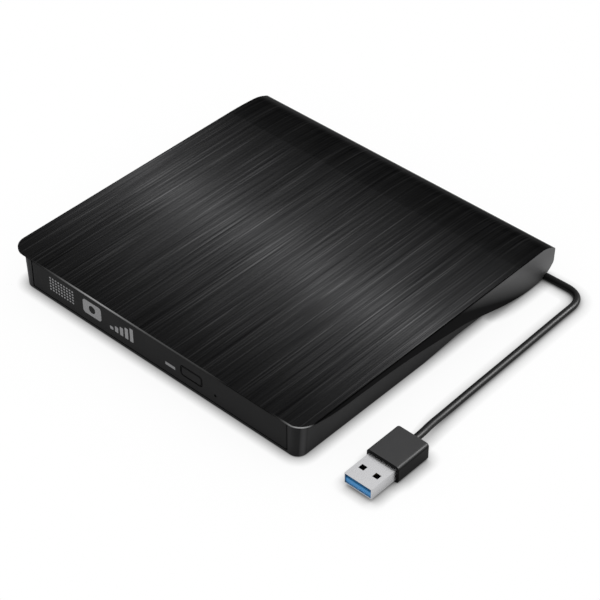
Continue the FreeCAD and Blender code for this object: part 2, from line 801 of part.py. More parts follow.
def plug_tongue():
    x, half, low = plug_tongue_space()
    y0 = back(PLUG_SHELL_TIP) + TONGUE_BACK
    y1 = back(PLUG_BODY_START) + PLUG_SHELL_BURIED
    height = PLUG_SHELL[1] - 2 * PLUG_SHELL_SHEET
    tongue = box(x - half, x + half, y0, y1, low, low + TONGUE_THICKNESS)
    root = box(x - half, x + half, y1 - TONGUE_ROOT, y1, low, low + height)
    notch = box(x - 1.4, x + 1.4, y0 - 1, y0 + 1.2, low - 1, low + 0.5)
    return tongue.fuse(root).cut(notch).removeSplitter()


def plug_contacts():
    x, half, low = plug_tongue_space()
    y0 = back(PLUG_SHELL_TIP)
    top = low + TONGUE_THICKNESS
    strips = []
    for place in (-3.5, -1.0, 1.0, 3.5):
        strips.append(box(x + place - 0.5, x + place + 0.5, y0 + 2.2, y0 + 8.6, top, top + 0.15))
    for place in (-4.0, -2.0, 0.0, 2.0, 4.0):
        strips.append(box(x + place - 0.35, x + place + 0.35, y0 + 9.3, y0 + 11.6, top, top + 0.3))
    return Part.makeCompound(strips)


# Boards at the rear
def bridge_board():
    y = back(DRIVE_END) + BRIDGE_GAP
    return box(BRIDGE_X[0], BRIDGE_X[1], y, y + BRIDGE_SHEET, BRIDGE_Z[0], BRIDGE_Z[1])


def bridge_chips():
    """Bridge chip, memory and two crystals on the upright board."""
    y = back(DRIVE_END) + BRIDGE_GAP + BRIDGE_SHEET
    chips = [
        box(-20.0, -13.0, y, y + 0.9, 4.8, 11.0),
        box(-32.0, -27.0, y, y + 0.9, 6.0, 10.0),
        box(2.0, 5.2, y, y + 1.0, 6.0, 8.5),
        box(10.0, 13.2, y, y + 1.0, 6.0, 8.5),
    ]
    return Part.makeCompound(chips)


def sata_socket():
    """Board-side receptacle of the slim connector, with its two blade slots."""
    y = back(DRIVE_END) + 0.5
    x0, x1 = SATA_SOCKET_X
    body = box(x0, x1, y, back(DRIVE_END) + BRIDGE_GAP, SATA_BLADE_Z - 1.4, SATA_BLADE_Z + 2.8)
    for blade_start, blade_end in SATA_BLADES_X:
        slot = box(
            blade_start - SATA_MARGIN, blade_end + SATA_MARGIN, y - 1, y + 2.0,
            SATA_BLADE_Z - 0.1, SATA_BLADE_Z + SATA_BLADE + 0.1,
        )
        body = body.cut(slot)
    return body


def sata_plug():
    y = back(DRIVE_END)
    x0, x1 = SATA_PLUG_X
    body = box(x0, x1, y - 5.0, y - 0.9, MAIN_BOARD_TOP, TRAY_PLATE - 0.4)
    blades = [
        box(start, end, y - 1.0, y + 2.0, SATA_BLADE_Z, SATA_BLADE_Z + SATA_BLADE)
        for start, end in SATA_BLADES_X
    ]
    return body.multiFuse(blades).removeSplitter()


def main_board():
    x0, x1 = BOARD_X
    y0 = back(BOARD_START)
    y1 = back(BOARD_END)
    cut_x, cut_y = BOARD_CORNER
    outline = [(x0, y0), (x1, y0), (x1, y1 - cut_y), (x1 - cut_x, y1), (x0, y1)]
    board = polygon_slab(outline, PAN_TOP + PAN_RISE, MAIN_BOARD_TOP)
    half = STANDOFF_HALF
    for x in STANDOFFS_X:
        y = y0 + 3.0
        board = board.fuse(box(x - half, x + half, y - half, y + half, PAN_TOP, PAN_TOP + PAN_RISE))
    return board.removeSplitter()


def main_board_chips():
    """Controller, motor driver, memory, regulator, ribbon socket and two capacitors."""
    z = MAIN_BOARD_TOP
    y = back(BOARD_START)
    chips = [
        box(12.0, 26.0, y + 5.0, y + 19.0, z, z + 1.3),
        box(32.0, 41.0, y + 4.0, y + 12.0, z, z + 1.1),
        box(33.0, 38.0, y + 15.0, y + 21.0, z, z + 1.0),
        box(-4.0, 4.0, y + 4.0, y + 9.0, z, z + 1.2),
        box(FLEX_X[0] - 2.0, FLEX_X[1] + 2.0, y + 0.2, y + 3.0, z, z + 1.4),
        cylinder(46.0, y + 8.0, z, z + 2.6, 1.8),
        cylinder(50.5, y + 8.0, z, z + 2.6, 1.8),
    ]
    return Part.makeCompound(chips)


def flex_cable():
    """Flat ribbon from the main board, forward along the pan and folded back to the tray."""
    x0, x1 = FLEX_X
    sheet = FLEX_SHEET
    low = PAN_TOP + 0.05
    high = TRAY_BOTTOM - sheet
    entry = MAIN_BOARD_TOP + 0.5
    fold = back(FLEX_FOLD)
    rise_y = back(BOARD_START - 0.8)
    lay_low = box(x0, x1, fold, rise_y, low, low + sheet)
    lay_high = box(x0, x1, fold, back(BOARD_START - 8.0), high, high + sheet)
    rise = box(x0, x1, rise_y, rise_y + sheet, low, entry)
    into = box(x0, x1, rise_y, back(BOARD_START + 0.2), entry, entry + sheet)
    middle = (low + high + sheet) / 2
    outer = middle - low
    turn = tube(V(x0, fold, middle), V(x1, fold, middle), outer, outer - sheet)
    turn = turn.common(box(x0, x1, fold - 2.0, fold, 0, TRAY_BOTTOM))
    return lay_low.multiFuse([lay_high, rise, into, turn]).removeSplitter()


# Drive housing
def drive_base():
    """Stamped pan: floor, side and rear walls, a step, two windows and stiffening beads."""
    y0 = back(DRIVE_START)
    y1 = back(DRIVE_END)
    half = DRIVE_HALF
    top = LID_UNDERSIDE
    below = FLOOR_TOP - 1
    pan = box(-half, half, y0, y1, FLOOR_TOP, top)
    inner = box(-half + PAN_SHEET, half - PAN_SHEET, y0 - 1, y1 - PAN_SHEET, PAN_TOP, top + 1)
    pan = pan.cut(inner)
    step = back(PAN_STEP)
    pan = pan.cut(box(-half - 1, half + 1, step, y1 + 1, below, FLOOR_TOP + PAN_RISE))
    pan = pan.fuse(box(-half, half, step, y1, FLOOR_TOP + PAN_RISE, PAN_TOP + PAN_RISE))
    plug_x0, plug_x1 = SATA_PLUG_X
    pan = pan.cut(box(plug_x0 - 1, plug_x1 + 1, y1 - 2, y1 + 1, MAIN_BOARD_TOP - 0.1, top + 1))
    for x0, x1, start, end in PAN_WINDOWS:
        pan = pan.cut(box(x0, x1, back(start), back(end), below, PAN_TOP + 1))
    for x in BEADS_X:
        bead = box(x, x + BEAD_WIDTH, back(BEAD_BACK[0]), back(BEAD_BACK[1]), below, FLOOR_TOP + BEAD_DEPTH)
        pan = pan.cut(bead)
    return pan.removeSplitter()


def drive_lid():
    """Flat lid with short side flanges and the shallow round recess over the disc."""
    y0 = back(DRIVE_START)
    y1 = back(DRIVE_END)
    half = DRIVE_HALF - PAN_SHEET - 0.1
    lid = rounded_block(-DRIVE_HALF, DRIVE_HALF, y0, y1, LID_UNDERSIDE, LID_TOP, 1.0)
    for side in (-1, 1):
        x0, x1 = sorted((side * half, side * (half - LID_SHEET)))
        flange = box(x0, x1, y0 + 1.0, y1 - 2.0, LID_UNDERSIDE - LID_FLANGE, LID_UNDERSIDE + 0.1)
        lid = lid.fuse(flange)
    recess = cylinder(SPINDLE[0], back(SPINDLE[1]), LID_TOP - LID_RECESS, LID_TOP + 1, LID_RECESS_RADIUS)
    lid = lid.cut(recess)
    for side in (-1, 1):
        x = side * LID_SCREWS[0]
        y = back(LID_SCREWS[1])
        hole = cylinder(x, y, LID_UNDERSIDE - 1, LID_TOP + 1, LID_SCREW_HOLE)
        lid = lid.cut(hole)
    return lid.removeSplitter()


def foam_pads():
    y0 = back(FOAM_BACK[0])
    y1 = back(FOAM_BACK[1])
    return Part.makeCompound([box(x, x + FOAM_WIDTH, y0, y1, LID_TOP, CEILING) for x in FOAM_X])


def latch_pin():
    return cylinder(LATCH_PIN[0], back(LATCH_PIN[1]), PAN_TOP, LATCH_Z[1] + 0.4, LATCH_PIN_RADIUS)


def side_guide(side):
    """Plastic channel on the pan's side wall that the metal rail slides in."""
    wall = DRIVE_HALF - PAN_SHEET
    y0 = back(DRIVE_START + 1.0)
    low = RAIL_BOTTOM - SLIDE_GAP
    high = RAIL_TOP + SLIDE_GAP
    guide = box(RAIL_FLANGE_X + 0.2, wall, y0, y0 + GUIDE_LENGTH, low - GUIDE_LIP, high + GUIDE_LIP)
    slot = box(0, wall - GUIDE_WEB, y0 - 1, y0 + GUIDE_LENGTH + 1, low, high)
    guide = guide.cut(slot)
    for place in GUIDE_NOTCHES:
        notch = box(0, wall + 1, y0 + place, y0 + place + GUIDE_NOTCH, high + 0.3, high + 2)
        guide = guide.cut(notch)
    return mirrored(guide, side)


def mirrored(shape, side):
    return shape if side > 0 else shape.mirror(V(0, 0, 0), V(1, 0, 0))


def rail(side):
    """Steel channel between the fixed guide and the tray's runner."""
    y0 = back(DRIVE_START + 0.5)
    y1 = y0 + RAIL_LENGTH
    low = RAIL_BOTTOM + RAIL_SHEET
    high = RAIL_TOP - RAIL_SHEET
    body = box(RAIL_FLANGE_X, RAIL_WEB_X + RAIL_SHEET, y0, y1, RAIL_BOTTOM, RAIL_TOP)
    body = body.cut(box(0, RAIL_WEB_X, y0 - 1, y1 + 1, low, high))
    distance, radius = RAIL_HOLE
    z = (low + high) / 2
    body = body.cut(rod(V(0, y0 + distance, z), V(BODY_WIDTH / 2, y0 + distance, z), radius))
    return mirrored(body, side)


# Eject pusher
def pusher_guide():
    x = PUSHER_X
    y0, y1 = [back(distance) for distance in PUSHER_GUIDE_BACK]
    z = PUSHER_Z
    half = PUSHER_GUIDE_HALF
    high = TRAY_PLATE - 0.3
    block = box(x - half, x + half, y0, y1, PAN_TOP + PAN_RISE, high)
    block = block.fuse(box(x - half, x + half, y0, back(PAN_STEP) - 0.1, PAN_TOP, high))
    block = block.cut(rod(V(x, y0 + 2.5, z), V(x, back(CHAMBER_END), z), PUSHER_CHAMBER))
    return block.cut(rod(V(x, y0 - 1, z), V(x, y0 + 3, z), PUSHER_RADIUS + RUNNING_GAP))


def eject_pusher():
    x = PUSHER_X
    z = PUSHER_Z
    face = back(PUSHER_FACE)
    head = rod(V(x, face, z), V(x, face + PUSHER_HEAD, z), PUSHER_COLLAR)
    shank = rod(V(x, face, z), V(x, back(PUSHER_END), z), PUSHER_RADIUS)
    collar = rod(V(x, back(COLLAR_BACK[0]), z), V(x, back(COLLAR_BACK[1]), z), PUSHER_COLLAR)
    return head.multiFuse([shank, collar]).removeSplitter()


def eject_spring():
    """Compressed spring behind the pusher's collar, as its outer sleeve."""
    x = PUSHER_X
    z = PUSHER_Z
    start = V(x, back(COLLAR_BACK[1]), z)
    return tube(start, V(x, back(CHAMBER_END), z), PUSHER_CHAMBER - 0.1, PUSHER_RADIUS + 0.1)


# Bezel, button and light
def bezel():
    """Moulded front with a hollow back, ribs, and openings for button, light and pinhole."""
    half = BEZEL_WIDTH / 2
    top = LIP_UNDERSIDE - BEZEL_TOP_GAP
    y0 = back(BEZEL_FRONT)
    y1 = back(BEZEL_BACK)
    centre = (0, (BEZEL_BOTTOM + top) / 2)
    body = facing_block(centre, (2 * half, top - BEZEL_BOTTOM), y0, y1, BEZEL_CORNER)
    rim = [edge for edge in body.Edges if edge.BoundBox.YMax < y0 + 0.01]
    body = body.makeChamfer(BEZEL_CHAMFER, rim)
    hollow = box(
        -half + BEZEL_SKIN, half - BEZEL_SKIN, y0 + BEZEL_SKIN, y1 + 1,
        BEZEL_BOTTOM + BEZEL_RIM, top - BEZEL_RIM,
    )
    body = body.cut(hollow)
    for x in BEZEL_RIBS_X:
        body = body.fuse(box(x, x + BEZEL_RIB, y0 + 1.0, y1, BEZEL_BOTTOM + 1.0, top - 1.0))
    hole = [size + 2 * BUTTON_GAP for size in BUTTON_SIZE]
    body = body.cut(facing_block(BUTTON_CENTRE, hole, y0 - 1, y1 + 1, BUTTON_CORNER + BUTTON_GAP))
    body = body.cut(facing_slab(LIGHT_CENTRE, LIGHT_SIZE, y0 - 1, y1 + 1))
    pinhole = rod(V(PINHOLE[0], y0 - 1, PINHOLE[1]), V(PINHOLE[0], y1 + 1, PINHOLE[1]), PINHOLE_RADIUS)
    return body.cut(pinhole).removeSplitter()


def facing_slab(centre, size, y0, y1):
    """Plain block that faces the front; centre and size are (x, z)."""
    x, z = centre
    width, height = size
    return box(x - width / 2, x + width / 2, y0, y1, z - height / 2, z + height / 2)


def eject_button():
    y0 = back(BEZEL_FRONT) - PROUD
    cap = facing_block(BUTTON_CENTRE, BUTTON_SIZE, y0, back(BEZEL_BACK) - 0.2, BUTTON_CORNER)
    rim = [edge for edge in cap.Edges if edge.BoundBox.YMax < y0 + 0.01]
    cap = cap.makeChamfer(BUTTON_CHAMFER, rim)
    skin = back(BEZEL_FRONT + BEZEL_SKIN)
    grown = [size + 2 * BUTTON_FLANGE for size in BUTTON_SIZE]
    flange = facing_slab(BUTTON_CENTRE, grown, skin + 0.05, skin + 0.05 + BUTTON_FLANGE_SHEET)
    stem = facing_slab(BUTTON_CENTRE, BUTTON_STEM, skin, back(SWITCH_FACE) - 0.1 - BUTTON_TRAVEL)
    return cap.multiFuse([flange, stem]).removeSplitter()


def led_window():
    y0 = back(BEZEL_FRONT) - PROUD
    pipe = facing_slab(LIGHT_CENTRE, LIGHT_SIZE, y0, back(BEZEL_BACK + LIGHT_REACH))
    skin = back(BEZEL_FRONT + BEZEL_SKIN)
    return pipe.fuse(facing_slab(LIGHT_CENTRE, LIGHT_FLANGE, skin, skin + 0.6)).removeSplitter()


def front_board():
    x0, x1 = FRONT_BOARD_X
    y0, y1 = [back(distance) for distance in FRONT_BOARD_BACK]
    return box(x0, x1, y0, y1, FRONT_BOARD_TOP - BOARD_SHEET, FRONT_BOARD_TOP)


def status_led():
    x = LIGHT_CENTRE[0]
    y0 = back(BEZEL_BACK + LIGHT_REACH)
    return box(x - 1.3, x + 1.3, y0, y0 + 1.9, FRONT_BOARD_TOP, LIGHT_CENTRE[1] + 0.8)


def eject_switch():
    x, z = BUTTON_CENTRE
    face = back(SWITCH_FACE)
    body = box(x - SWITCH_HALF, x + SWITCH_HALF, face + 0.6, face + 3.4, FRONT_BOARD_TOP, z + 0.95)
    plunger = box(x - 1.2, x + 1.2, face, face + 0.7, z - 0.8, z + 0.8)
    return body.fuse(plunger).removeSplitter()


# Tray
def placed(shape):
    """Turn a shape from the mechanism's own frame into the tray's."""
    turned = shape.copy()
    turned.rotate(V(0, 0, 0), V(0, 0, 1), SLED_ANGLE)
    turned.translate(V(SPINDLE[0], back(SPINDLE[1]), 0))
    return turned


def chassis_plan(grow, z0, z1):
    """Plan of the mechanism chassis with its cut corners, grown on all sides."""
    u0 = CHASSIS_U[0] - grow
    u1 = CHASSIS_U[1] + grow
    v0 = CHASSIS_V[0] - grow
    v1 = CHASSIS_V[1] + grow
    c = CHASSIS_CHAMFER
    outline = [(u0, v0), (u1 - c, v0), (u1, v0 + c), (u1, v1 - c), (u1 - c, v1), (u0, v1)]
    return polygon_slab(outline, z0, z1)


def tray():
    """Moulded tray: disc seat, small-disc seat, side runners, skirts and mechanism opening."""
    y0 = back(BEZEL_BACK)
    cx = SPINDLE[0]
    cy = back(SPINDLE[1])
    half = TRAY_HALF
    body = rounded_block(-half, half, y0, back(TRAY_END), TRAY_PLATE, TRAY_TOP, TRAY_CORNER)
    body = body.multiFuse(tray_walls())
    body = body.cut(cylinder(cx, cy, DISC_SEAT_Z, TRAY_TOP + 1, DISC_SEAT_RADIUS))
    body = body.cut(cylinder(cx, cy, SMALL_SEAT_Z, TRAY_TOP + 1, SMALL_SEAT_RADIUS))
    relief_x, relief = FINGER_RELIEF
    body = body.cut(box(relief_x, half + 0.01, cy - relief, cy + relief, DISC_SEAT_Z, TRAY_TOP + 1))
    opening = chassis_plan(MECHANISM_GAP, TRAY_BOTTOM - 1, DISC_SEAT_Z + LENS_CLEARANCE)
    return finish_tray(body.cut(placed(opening)))


def tray_walls():
    """Front wall, skirts, the wall beside the mechanism, the pusher's stop and the runners."""
    y0 = back(BEZEL_BACK)
    high = TRAY_PLATE + 0.5
    skirt_end = back(SKIRT_END)
    walls = [box(-TRAY_HALF, TRAY_HALF, y0, y0 + TRAY_WALL, TRAY_BOTTOM, high)]
    for x0 in (-TRAY_HALF, SCREEN_WALL_X, TRAY_HALF - SKIRT_WALL):
        walls.append(box(x0, x0 + SKIRT_WALL, y0 + 1, skirt_end, TRAY_BOTTOM, high))
    face = back(PUSHER_FACE)
    walls.append(box(PUSHER_X - 2.5, PUSHER_X + 2.5, face - 2.0, face, TRAY_BOTTOM + 0.6, high))
    start = back(RUNNER_START)
    end = back(RUNNER_END)
    for side in (-1, 1):
        x0, x1 = sorted((side * (TRAY_HALF - 1.0), side * (TRAY_HALF + RUNNER_OUT)))
        walls.append(box(x0, x1, start, end, RUNNER_Z[0], RUNNER_Z[1]))
        x0, x1 = sorted((side * (TRAY_HALF - RUNNER_ROOT), side * TRAY_HALF))
        walls.append(box(x0, x1, start, end, RUNNER_Z[0] - 0.4, high))
    return walls


def finish_tray(body):
    """Cuts for the front pieces and the latch, vents at the rear, bosses for the chassis."""
    y0 = back(BEZEL_BACK) - 1
    y1 = y0 + TRAY_WALL + 2
    body = body.cut(box(12.2, 25.1, y0, y1, 4.6, 9.9))
    body = body.cut(box(5.0, 11.4, y0, y1, FRONT_BOARD_TOP, 7.0))
    body = body.cut(rod(V(PINHOLE[0], y0, PINHOLE[1]), V(PINHOLE[0], y1, PINHOLE[1]), 1.5))
    body = body.cut(box(30.0, 39.0, back(11.0), back(16.0), TRAY_BOTTOM - 1, TRAY_PLATE - 0.3))
    width, depth = VENT_SIZE
    vent_y = back(VENT_START)
    for x in VENTS_X:
        body = body.cut(box(x, x + width, vent_y, vent_y + depth, TRAY_PLATE - 1, TRAY_TOP + 1))
    for u, v in LUGS:
        boss = placed(cylinder(u, v, DAMPER_TOP, TRAY_PLATE + 0.4, DAMPER_RADIUS))
        hole = placed(cylinder(u, v, DAMPER_TOP - 1, TRAY_PLATE + 0.2, DAMPER_SCREW))
        body = body.fuse(boss).cut(hole)
    x = LATCH_PIVOT[0]
    y = back(LATCH_PIVOT[1])
    high = TRAY_PLATE + 0.4
    body = body.fuse(cylinder(x, y, LATCH_Z[1] + 0.1, high, LATCH_HUB_RADIUS))
    body = body.fuse(cylinder(x, y, LATCH_Z[0] - 0.6, high, LATCH_PIVOT_RADIUS))
    return body.removeSplitter()


def tray_floor():
    """Thin sheet under the tray that closes the mechanism from below."""
    x0, x1 = TRAY_FLOOR_X
    y0 = back(BEZEL_BACK + 2.0)
    floor = box(x0, x1, y0, back(SKIRT_END - 1.0), TRAY_BOTTOM, TRAY_BOTTOM + TRAY_FLOOR_SHEET)
    for u, v in LUGS:
        floor = floor.cut(placed(cylinder(u, v, 0, TRAY_BOTTOM + 1, DAMPER_NECK + 0.5)))
    return floor


def mechanism_chassis():
    """Cast frame that carries the spindle motor, the rods, the lead screw and its motor."""
    z0, z1 = CHASSIS_Z
    wall = CHASSIS_WALL
    u0, u1 = CHASSIS_U
    v0, v1 = [CHASSIS_V[0] + wall, CHASSIS_V[1] - wall]
    far = u1 - wall
    near = CROSSBAR_U + wall
    c = WELL_CHAMFER
    well = [(near, v0), (far - c, v0), (far, v0 + c), (far, v1 - c), (far - c, v1), (near, v1)]
    frame = chassis_plan(0, z0, z1).cut(polygon_slab(well, z0 - 1, z1 + 1))
    frame = frame.cut(box(u0 + wall, CROSSBAR_U, v0, v1, z0 + CHASSIS_FLOOR, z1 + 1))
    for u, v in LUGS:
        lug = cylinder(u, v, LUG_Z[0], LUG_Z[1], LUG_RADIUS)
        frame = frame.fuse(lug.cut(chassis_plan(-wall, LUG_Z[0] - 1, LUG_Z[1] + 1)))
        frame = frame.cut(cylinder(u, v, z0 - 1, z1 + 1, DAMPER_NECK))
    for v, radius in ((ROD_V, MAIN_ROD_RADIUS), (-ROD_V, SIDE_ROD_RADIUS)):
        frame = frame.cut(rod(V(CROSSBAR_U, v, ROD_Z), V(u1 + 1, v, ROD_Z), radius))
    passage = rod(V(0, SCREW_V, ROD_Z), V(CROSSBAR_U + 5, SCREW_V, ROD_Z), WORM_RADIUS + 0.4)
    frame = frame.cut(passage)
    end = SCREW_END_U
    bearing = box(end - 2.5, u1, SCREW_V - 2.3, CHASSIS_V[1], z0, z1 - 0.4)
    frame = frame.fuse(bearing.common(chassis_plan(-0.2, z0, z1)))
    bore = rod(V(end - 5, SCREW_V, ROD_Z), V(end + 0.1, SCREW_V, ROD_Z), WORM_RADIUS + RUNNING_GAP)
    return placed(frame.cut(bore).removeSplitter())


def guide_rods():
    start = CROSSBAR_U
    end = CHASSIS_U[1]
    rods = []
    for v, radius in ((ROD_V, MAIN_ROD_RADIUS), (-ROD_V, SIDE_ROD_RADIUS)):
        rods.append(placed(rod(V(start, v, ROD_Z), V(end, v, ROD_Z), radius)))
    return Part.makeCompound(rods)


def mechanism_cover():
    """Sheet over the chassis with the pickup's slot and the turntable's hole."""
    z = CHASSIS_Z[1]
    plate = chassis_plan(-0.3, z, z + COVER_PLATE)
    plate = plate.cut(cylinder(0, 0, z - 1, z + 2, ROTOR_RADIUS + 1.2))
    slot = rounded_block(LENS_INNER - 8.0, LENS_OUTER + 6.6, -9.0, 9.0, z - 1, z + 2, 2.0)
    plate = plate.cut(slot)
    for u, v in COVER_HOLES:
        plate = plate.cut(cylinder(u, v, z - 1, z + 2, COVER_HOLE_RADIUS))
    return placed(plate)


def rubber_dampers():
    """Grommets with a neck between two flanges, in the chassis lugs."""
    dampers = []
    for u, v in LUGS:
        body = cylinder(u, v, DAMPER_BOTTOM, DAMPER_TOP, DAMPER_NECK)
        body = body.fuse(cylinder(u, v, DAMPER_BOTTOM, LUG_Z[0], DAMPER_RADIUS))
        body = body.fuse(cylinder(u, v, LUG_Z[1], DAMPER_TOP, DAMPER_RADIUS))
        bore = cylinder(u, v, DAMPER_BOTTOM - 1, DAMPER_TOP + 1, DAMPER_SCREW)
        dampers.append(placed(body.cut(bore).removeSplitter()))
    return Part.makeCompound(dampers)


def mechanism_screws():
    screws = []
    start = DAMPER_BOTTOM - DAMPER_SCREW_HEAD
    for u, v in LUGS:
        head = cylinder(u, v, start, DAMPER_BOTTOM, DAMPER_NECK)
        shank = cylinder(u, v, start, TRAY_PLATE, DAMPER_SCREW)
        screws.append(placed(head.fuse(shank).removeSplitter()))
    return Part.makeCompound(screws)


# Spindle
def spindle_motor():
    """Flat base, slotted stator and bearing sleeve, open at the top for the rotor."""
    z = CHASSIS_Z[0] + CHASSIS_FLOOR
    base = cylinder(0, 0, z, z + 0.5, MOTOR_RADIUS)
    stator = cylinder(0, 0, z, STATOR_TOP, STATOR_RADIUS)
    stator = stator.cut(cylinder(0, 0, z + 0.5, STATOR_TOP + 1, BEARING_RADIUS + 1.6))
    slots = []
    for index in range(STATOR_SLOTS):
        slot = box(5.4, STATOR_RADIUS + 1, -0.5, 0.5, z + 0.6, STATOR_TOP + 1)
        slot.rotate(V(0, 0, 0), V(0, 0, 1), index * 360.0 / STATOR_SLOTS)
        slots.append(slot)
    stator = stator.cut(Part.makeCompound(slots))
    bearing = cylinder(0, 0, z, STATOR_TOP + 0.2, BEARING_RADIUS)
    bore = cylinder(0, 0, z + 0.5, STATOR_TOP + 1, SPINDLE_SHAFT + RUNNING_GAP)
    return placed(base.multiFuse([stator, bearing]).cut(bore).removeSplitter())


def turntable():
    """Rotor cup, turntable and disc hub, with three slots for the chucking dogs."""
    inner = ROTOR_RADIUS - ROTOR_SKIN
    cup = cylinder(0, 0, ROTOR_BOTTOM, TURNTABLE_Z, ROTOR_RADIUS)
    cup = cup.cut(cylinder(0, 0, ROTOR_BOTTOM - 1, TURNTABLE_Z - ROTOR_SKIN, inner))
    plate = cylinder(0, 0, TURNTABLE_Z, TURNTABLE_Z + TURNTABLE_SHEET, TURNTABLE_RADIUS)
    bevel_in, bevel = HUB_BEVEL
    hub = cylinder(0, 0, TURNTABLE_Z, HUB_TOP - bevel, HUB_RADIUS)
    cone = Part.makeCone(HUB_RADIUS, HUB_RADIUS - bevel_in, bevel, V(0, 0, HUB_TOP - bevel))
    shaft = cylinder(0, 0, ROTOR_BOTTOM - 0.2, TURNTABLE_Z, SPINDLE_SHAFT)
    solid = cup.multiFuse([plate, hub, cone, shaft])
    well = cylinder(0, 0, DISC_UNDERSIDE + 0.1, HUB_TOP + 1, HUB_BORE)
    solid = solid.cut(well.cut(cylinder(0, 0, DISC_UNDERSIDE, HUB_TOP + 1, HUB_PIN)))
    half = DOG_WIDTH / 2 + DOG_GAP
    for angle in DOG_ANGLES:
        slot = box(HUB_BORE - 0.3, HUB_RADIUS + 1, -half, half, DOG_Z[0] - 0.05, HUB_TOP + 1)
        slot.rotate(V(0, 0, 0), V(0, 0, 1), angle)
        solid = solid.cut(slot)
    return placed(solid.removeSplitter())


def friction_ring():
    z = TURNTABLE_Z + TURNTABLE_SHEET
    outer = TURNTABLE_RADIUS - 0.2
    ring = cylinder(0, 0, z, DISC_UNDERSIDE, outer)
    return placed(ring.cut(cylinder(0, 0, z - 1, z + 2, outer - RING_WIDTH)))


def chucking_dog(angle):
    """Sprung claw that holds the disc's centre hole; its nose slopes off at the top."""
    inner = HUB_BORE + 0.55
    outline = [
        V(inner, 0, DOG_Z[0]), V(HUB_RADIUS - 0.1, 0, DOG_Z[0]),
        V(HUB_RADIUS + DOG_OUT, 0, DOG_NOSE_Z), V(HUB_RADIUS - 0.7, 0, DOG_Z[1]),
        V(inner, 0, DOG_Z[1]),
    ]
    dog = Part.Face(Part.makePolygon(outline + outline[:1])).extrude(V(0, DOG_WIDTH, 0))
    dog.translate(V(0, -DOG_WIDTH / 2, 0))
    dog.rotate(V(0, 0, 0), V(0, 0, 1), angle)
    return placed(dog)


# Pickup
def pickup_sled():
    """Cast sled with a bored bearing block, a fork for the side rod and the lens well."""
    u0 = LENS_INNER - SLED_INNER
    u1 = LENS_INNER + SLED_OUTER
    z0, z1 = SLED_Z
    half = SLED_HALF
    body = rounded_block(u0, u1, -half, half, z0, z1, SLED_CORNER)
    body = body.fuse(box(u0, u1, half - 1, SLED_BLOCK_V, z0 + 0.1, z1 - 0.1))
    body = body.cut(rod(V(u0 - 1, ROD_V, ROD_Z), V(u1 + 1, ROD_V, ROD_Z), MAIN_ROD_RADIUS + RUNNING_GAP))
    gap = SIDE_ROD_RADIUS + RUNNING_GAP
    fork = box(u0 + 4, u1 - 4, -SIDE_FORK_V, -half + 1, ROD_Z - FORK_HALF, ROD_Z + FORK_HALF)
    fork = fork.cut(box(u0, u1, -SIDE_FORK_V - 1, -ROD_V + 1.6, ROD_Z - gap, ROD_Z + gap))
    body = body.fuse(fork)
    lens = LENS_INNER
    well_u, well_v = LENS_WELL
    body = body.cut(box(lens - well_u, lens + well_u, -well_v, well_v, z0 + 1.8, z1 + 1))
    body = body.cut(box(u0 + 1.0, u0 + 3.4, -9.0, 9.0, z1 - 1.1, z1 + 1))
    return placed(body.removeSplitter())


def sled_nut():
    """Plastic follower on the sled that rides in the lead screw's groove."""
    u = LENS_INNER
    nut = box(u - 5.0, u + 2.0, SLED_BLOCK_V, SCREW_V + 1.7, ROD_Z - FORK_HALF, ROD_Z + FORK_HALF)
    bore = rod(V(u - 6, SCREW_V, ROD_Z), V(u + 3, SCREW_V, ROD_Z), WORM_RADIUS + NUT_GAP)
    return placed(nut.cut(bore))


def lens_cover():
    """Thin guard round the lens, seated on the sled."""
    lens = LENS_INNER
    z = SLED_Z[1]
    plate = rounded_block(lens - 7.0, lens + 5.6, -8.0, 8.0, z, z + 0.4, 1.5)
    u, v = [size + 0.4 for size in LENS_FRAME]
    return placed(plate.cut(box(lens - u, lens + u, -v, v, z - 1, z + 2)))


def lens_holder():
    """Black moving frame of the focus actuator, with the lens seat."""
    lens = LENS_INNER
    u, v = LENS_FRAME
    z = LENS_SEAT_Z
    frame = rounded_block(lens - u, lens + u, -v, v, z - 2.0, z + 0.4, 0.8)
    holder = frame.fuse(cylinder(lens, 0, z, z + 0.9, LENS_RADIUS + 0.8))
    holder = holder.cut(cylinder(lens, 0, z - 3, z + 3, LENS_OPENING))
    return placed(holder.cut(cylinder(lens, 0, z, z + 3, LENS_RADIUS)).removeSplitter())


def objective_lens():
    """Lens with a domed top, seated in its holder's step."""
    lens = LENS_INNER
    z = LENS_SEAT_Z
    disc = cylinder(lens, 0, z, z + 0.5, LENS_RADIUS)
    dome = Part.makeSphere(4.6, V(lens, 0, z - 3.4))
    dome = dome.common(cylinder(lens, 0, z + 0.4, z + 2, LENS_OPENING))
    return placed(disc.fuse(dome).removeSplitter())


def sled_motor():
    u1 = 0.0
    u0 = u1 - STEPPER_LENGTH
    half = STEPPER_RADIUS + 0.05
    can = rod(V(u0, SCREW_V, ROD_Z), V(u1, SCREW_V, ROD_Z), STEPPER_RADIUS)
    low = CHASSIS_Z[0] + CHASSIS_FLOOR
    foot = box(u0 + 1, u1 - 1, SCREW_V - half, SCREW_V + half, low, ROD_Z - 1.2)
    bore = rod(V(u0 + 2, SCREW_V, ROD_Z), V(u1 + 1, SCREW_V, ROD_Z), STEPPER_SHAFT + RUNNING_GAP)
    return placed(can.fuse(foot).cut(bore).removeSplitter())


def lead_screw():
    start = V(3.0 - STEPPER_LENGTH, SCREW_V, ROD_Z)
    shaft = rod(start, V(1.0, SCREW_V, ROD_Z), STEPPER_SHAFT)
    screw = rod(V(0.4, SCREW_V, ROD_Z), V(SCREW_END_U, SCREW_V, ROD_Z), WORM_RADIUS)
    return placed(shaft.fuse(screw).removeSplitter())


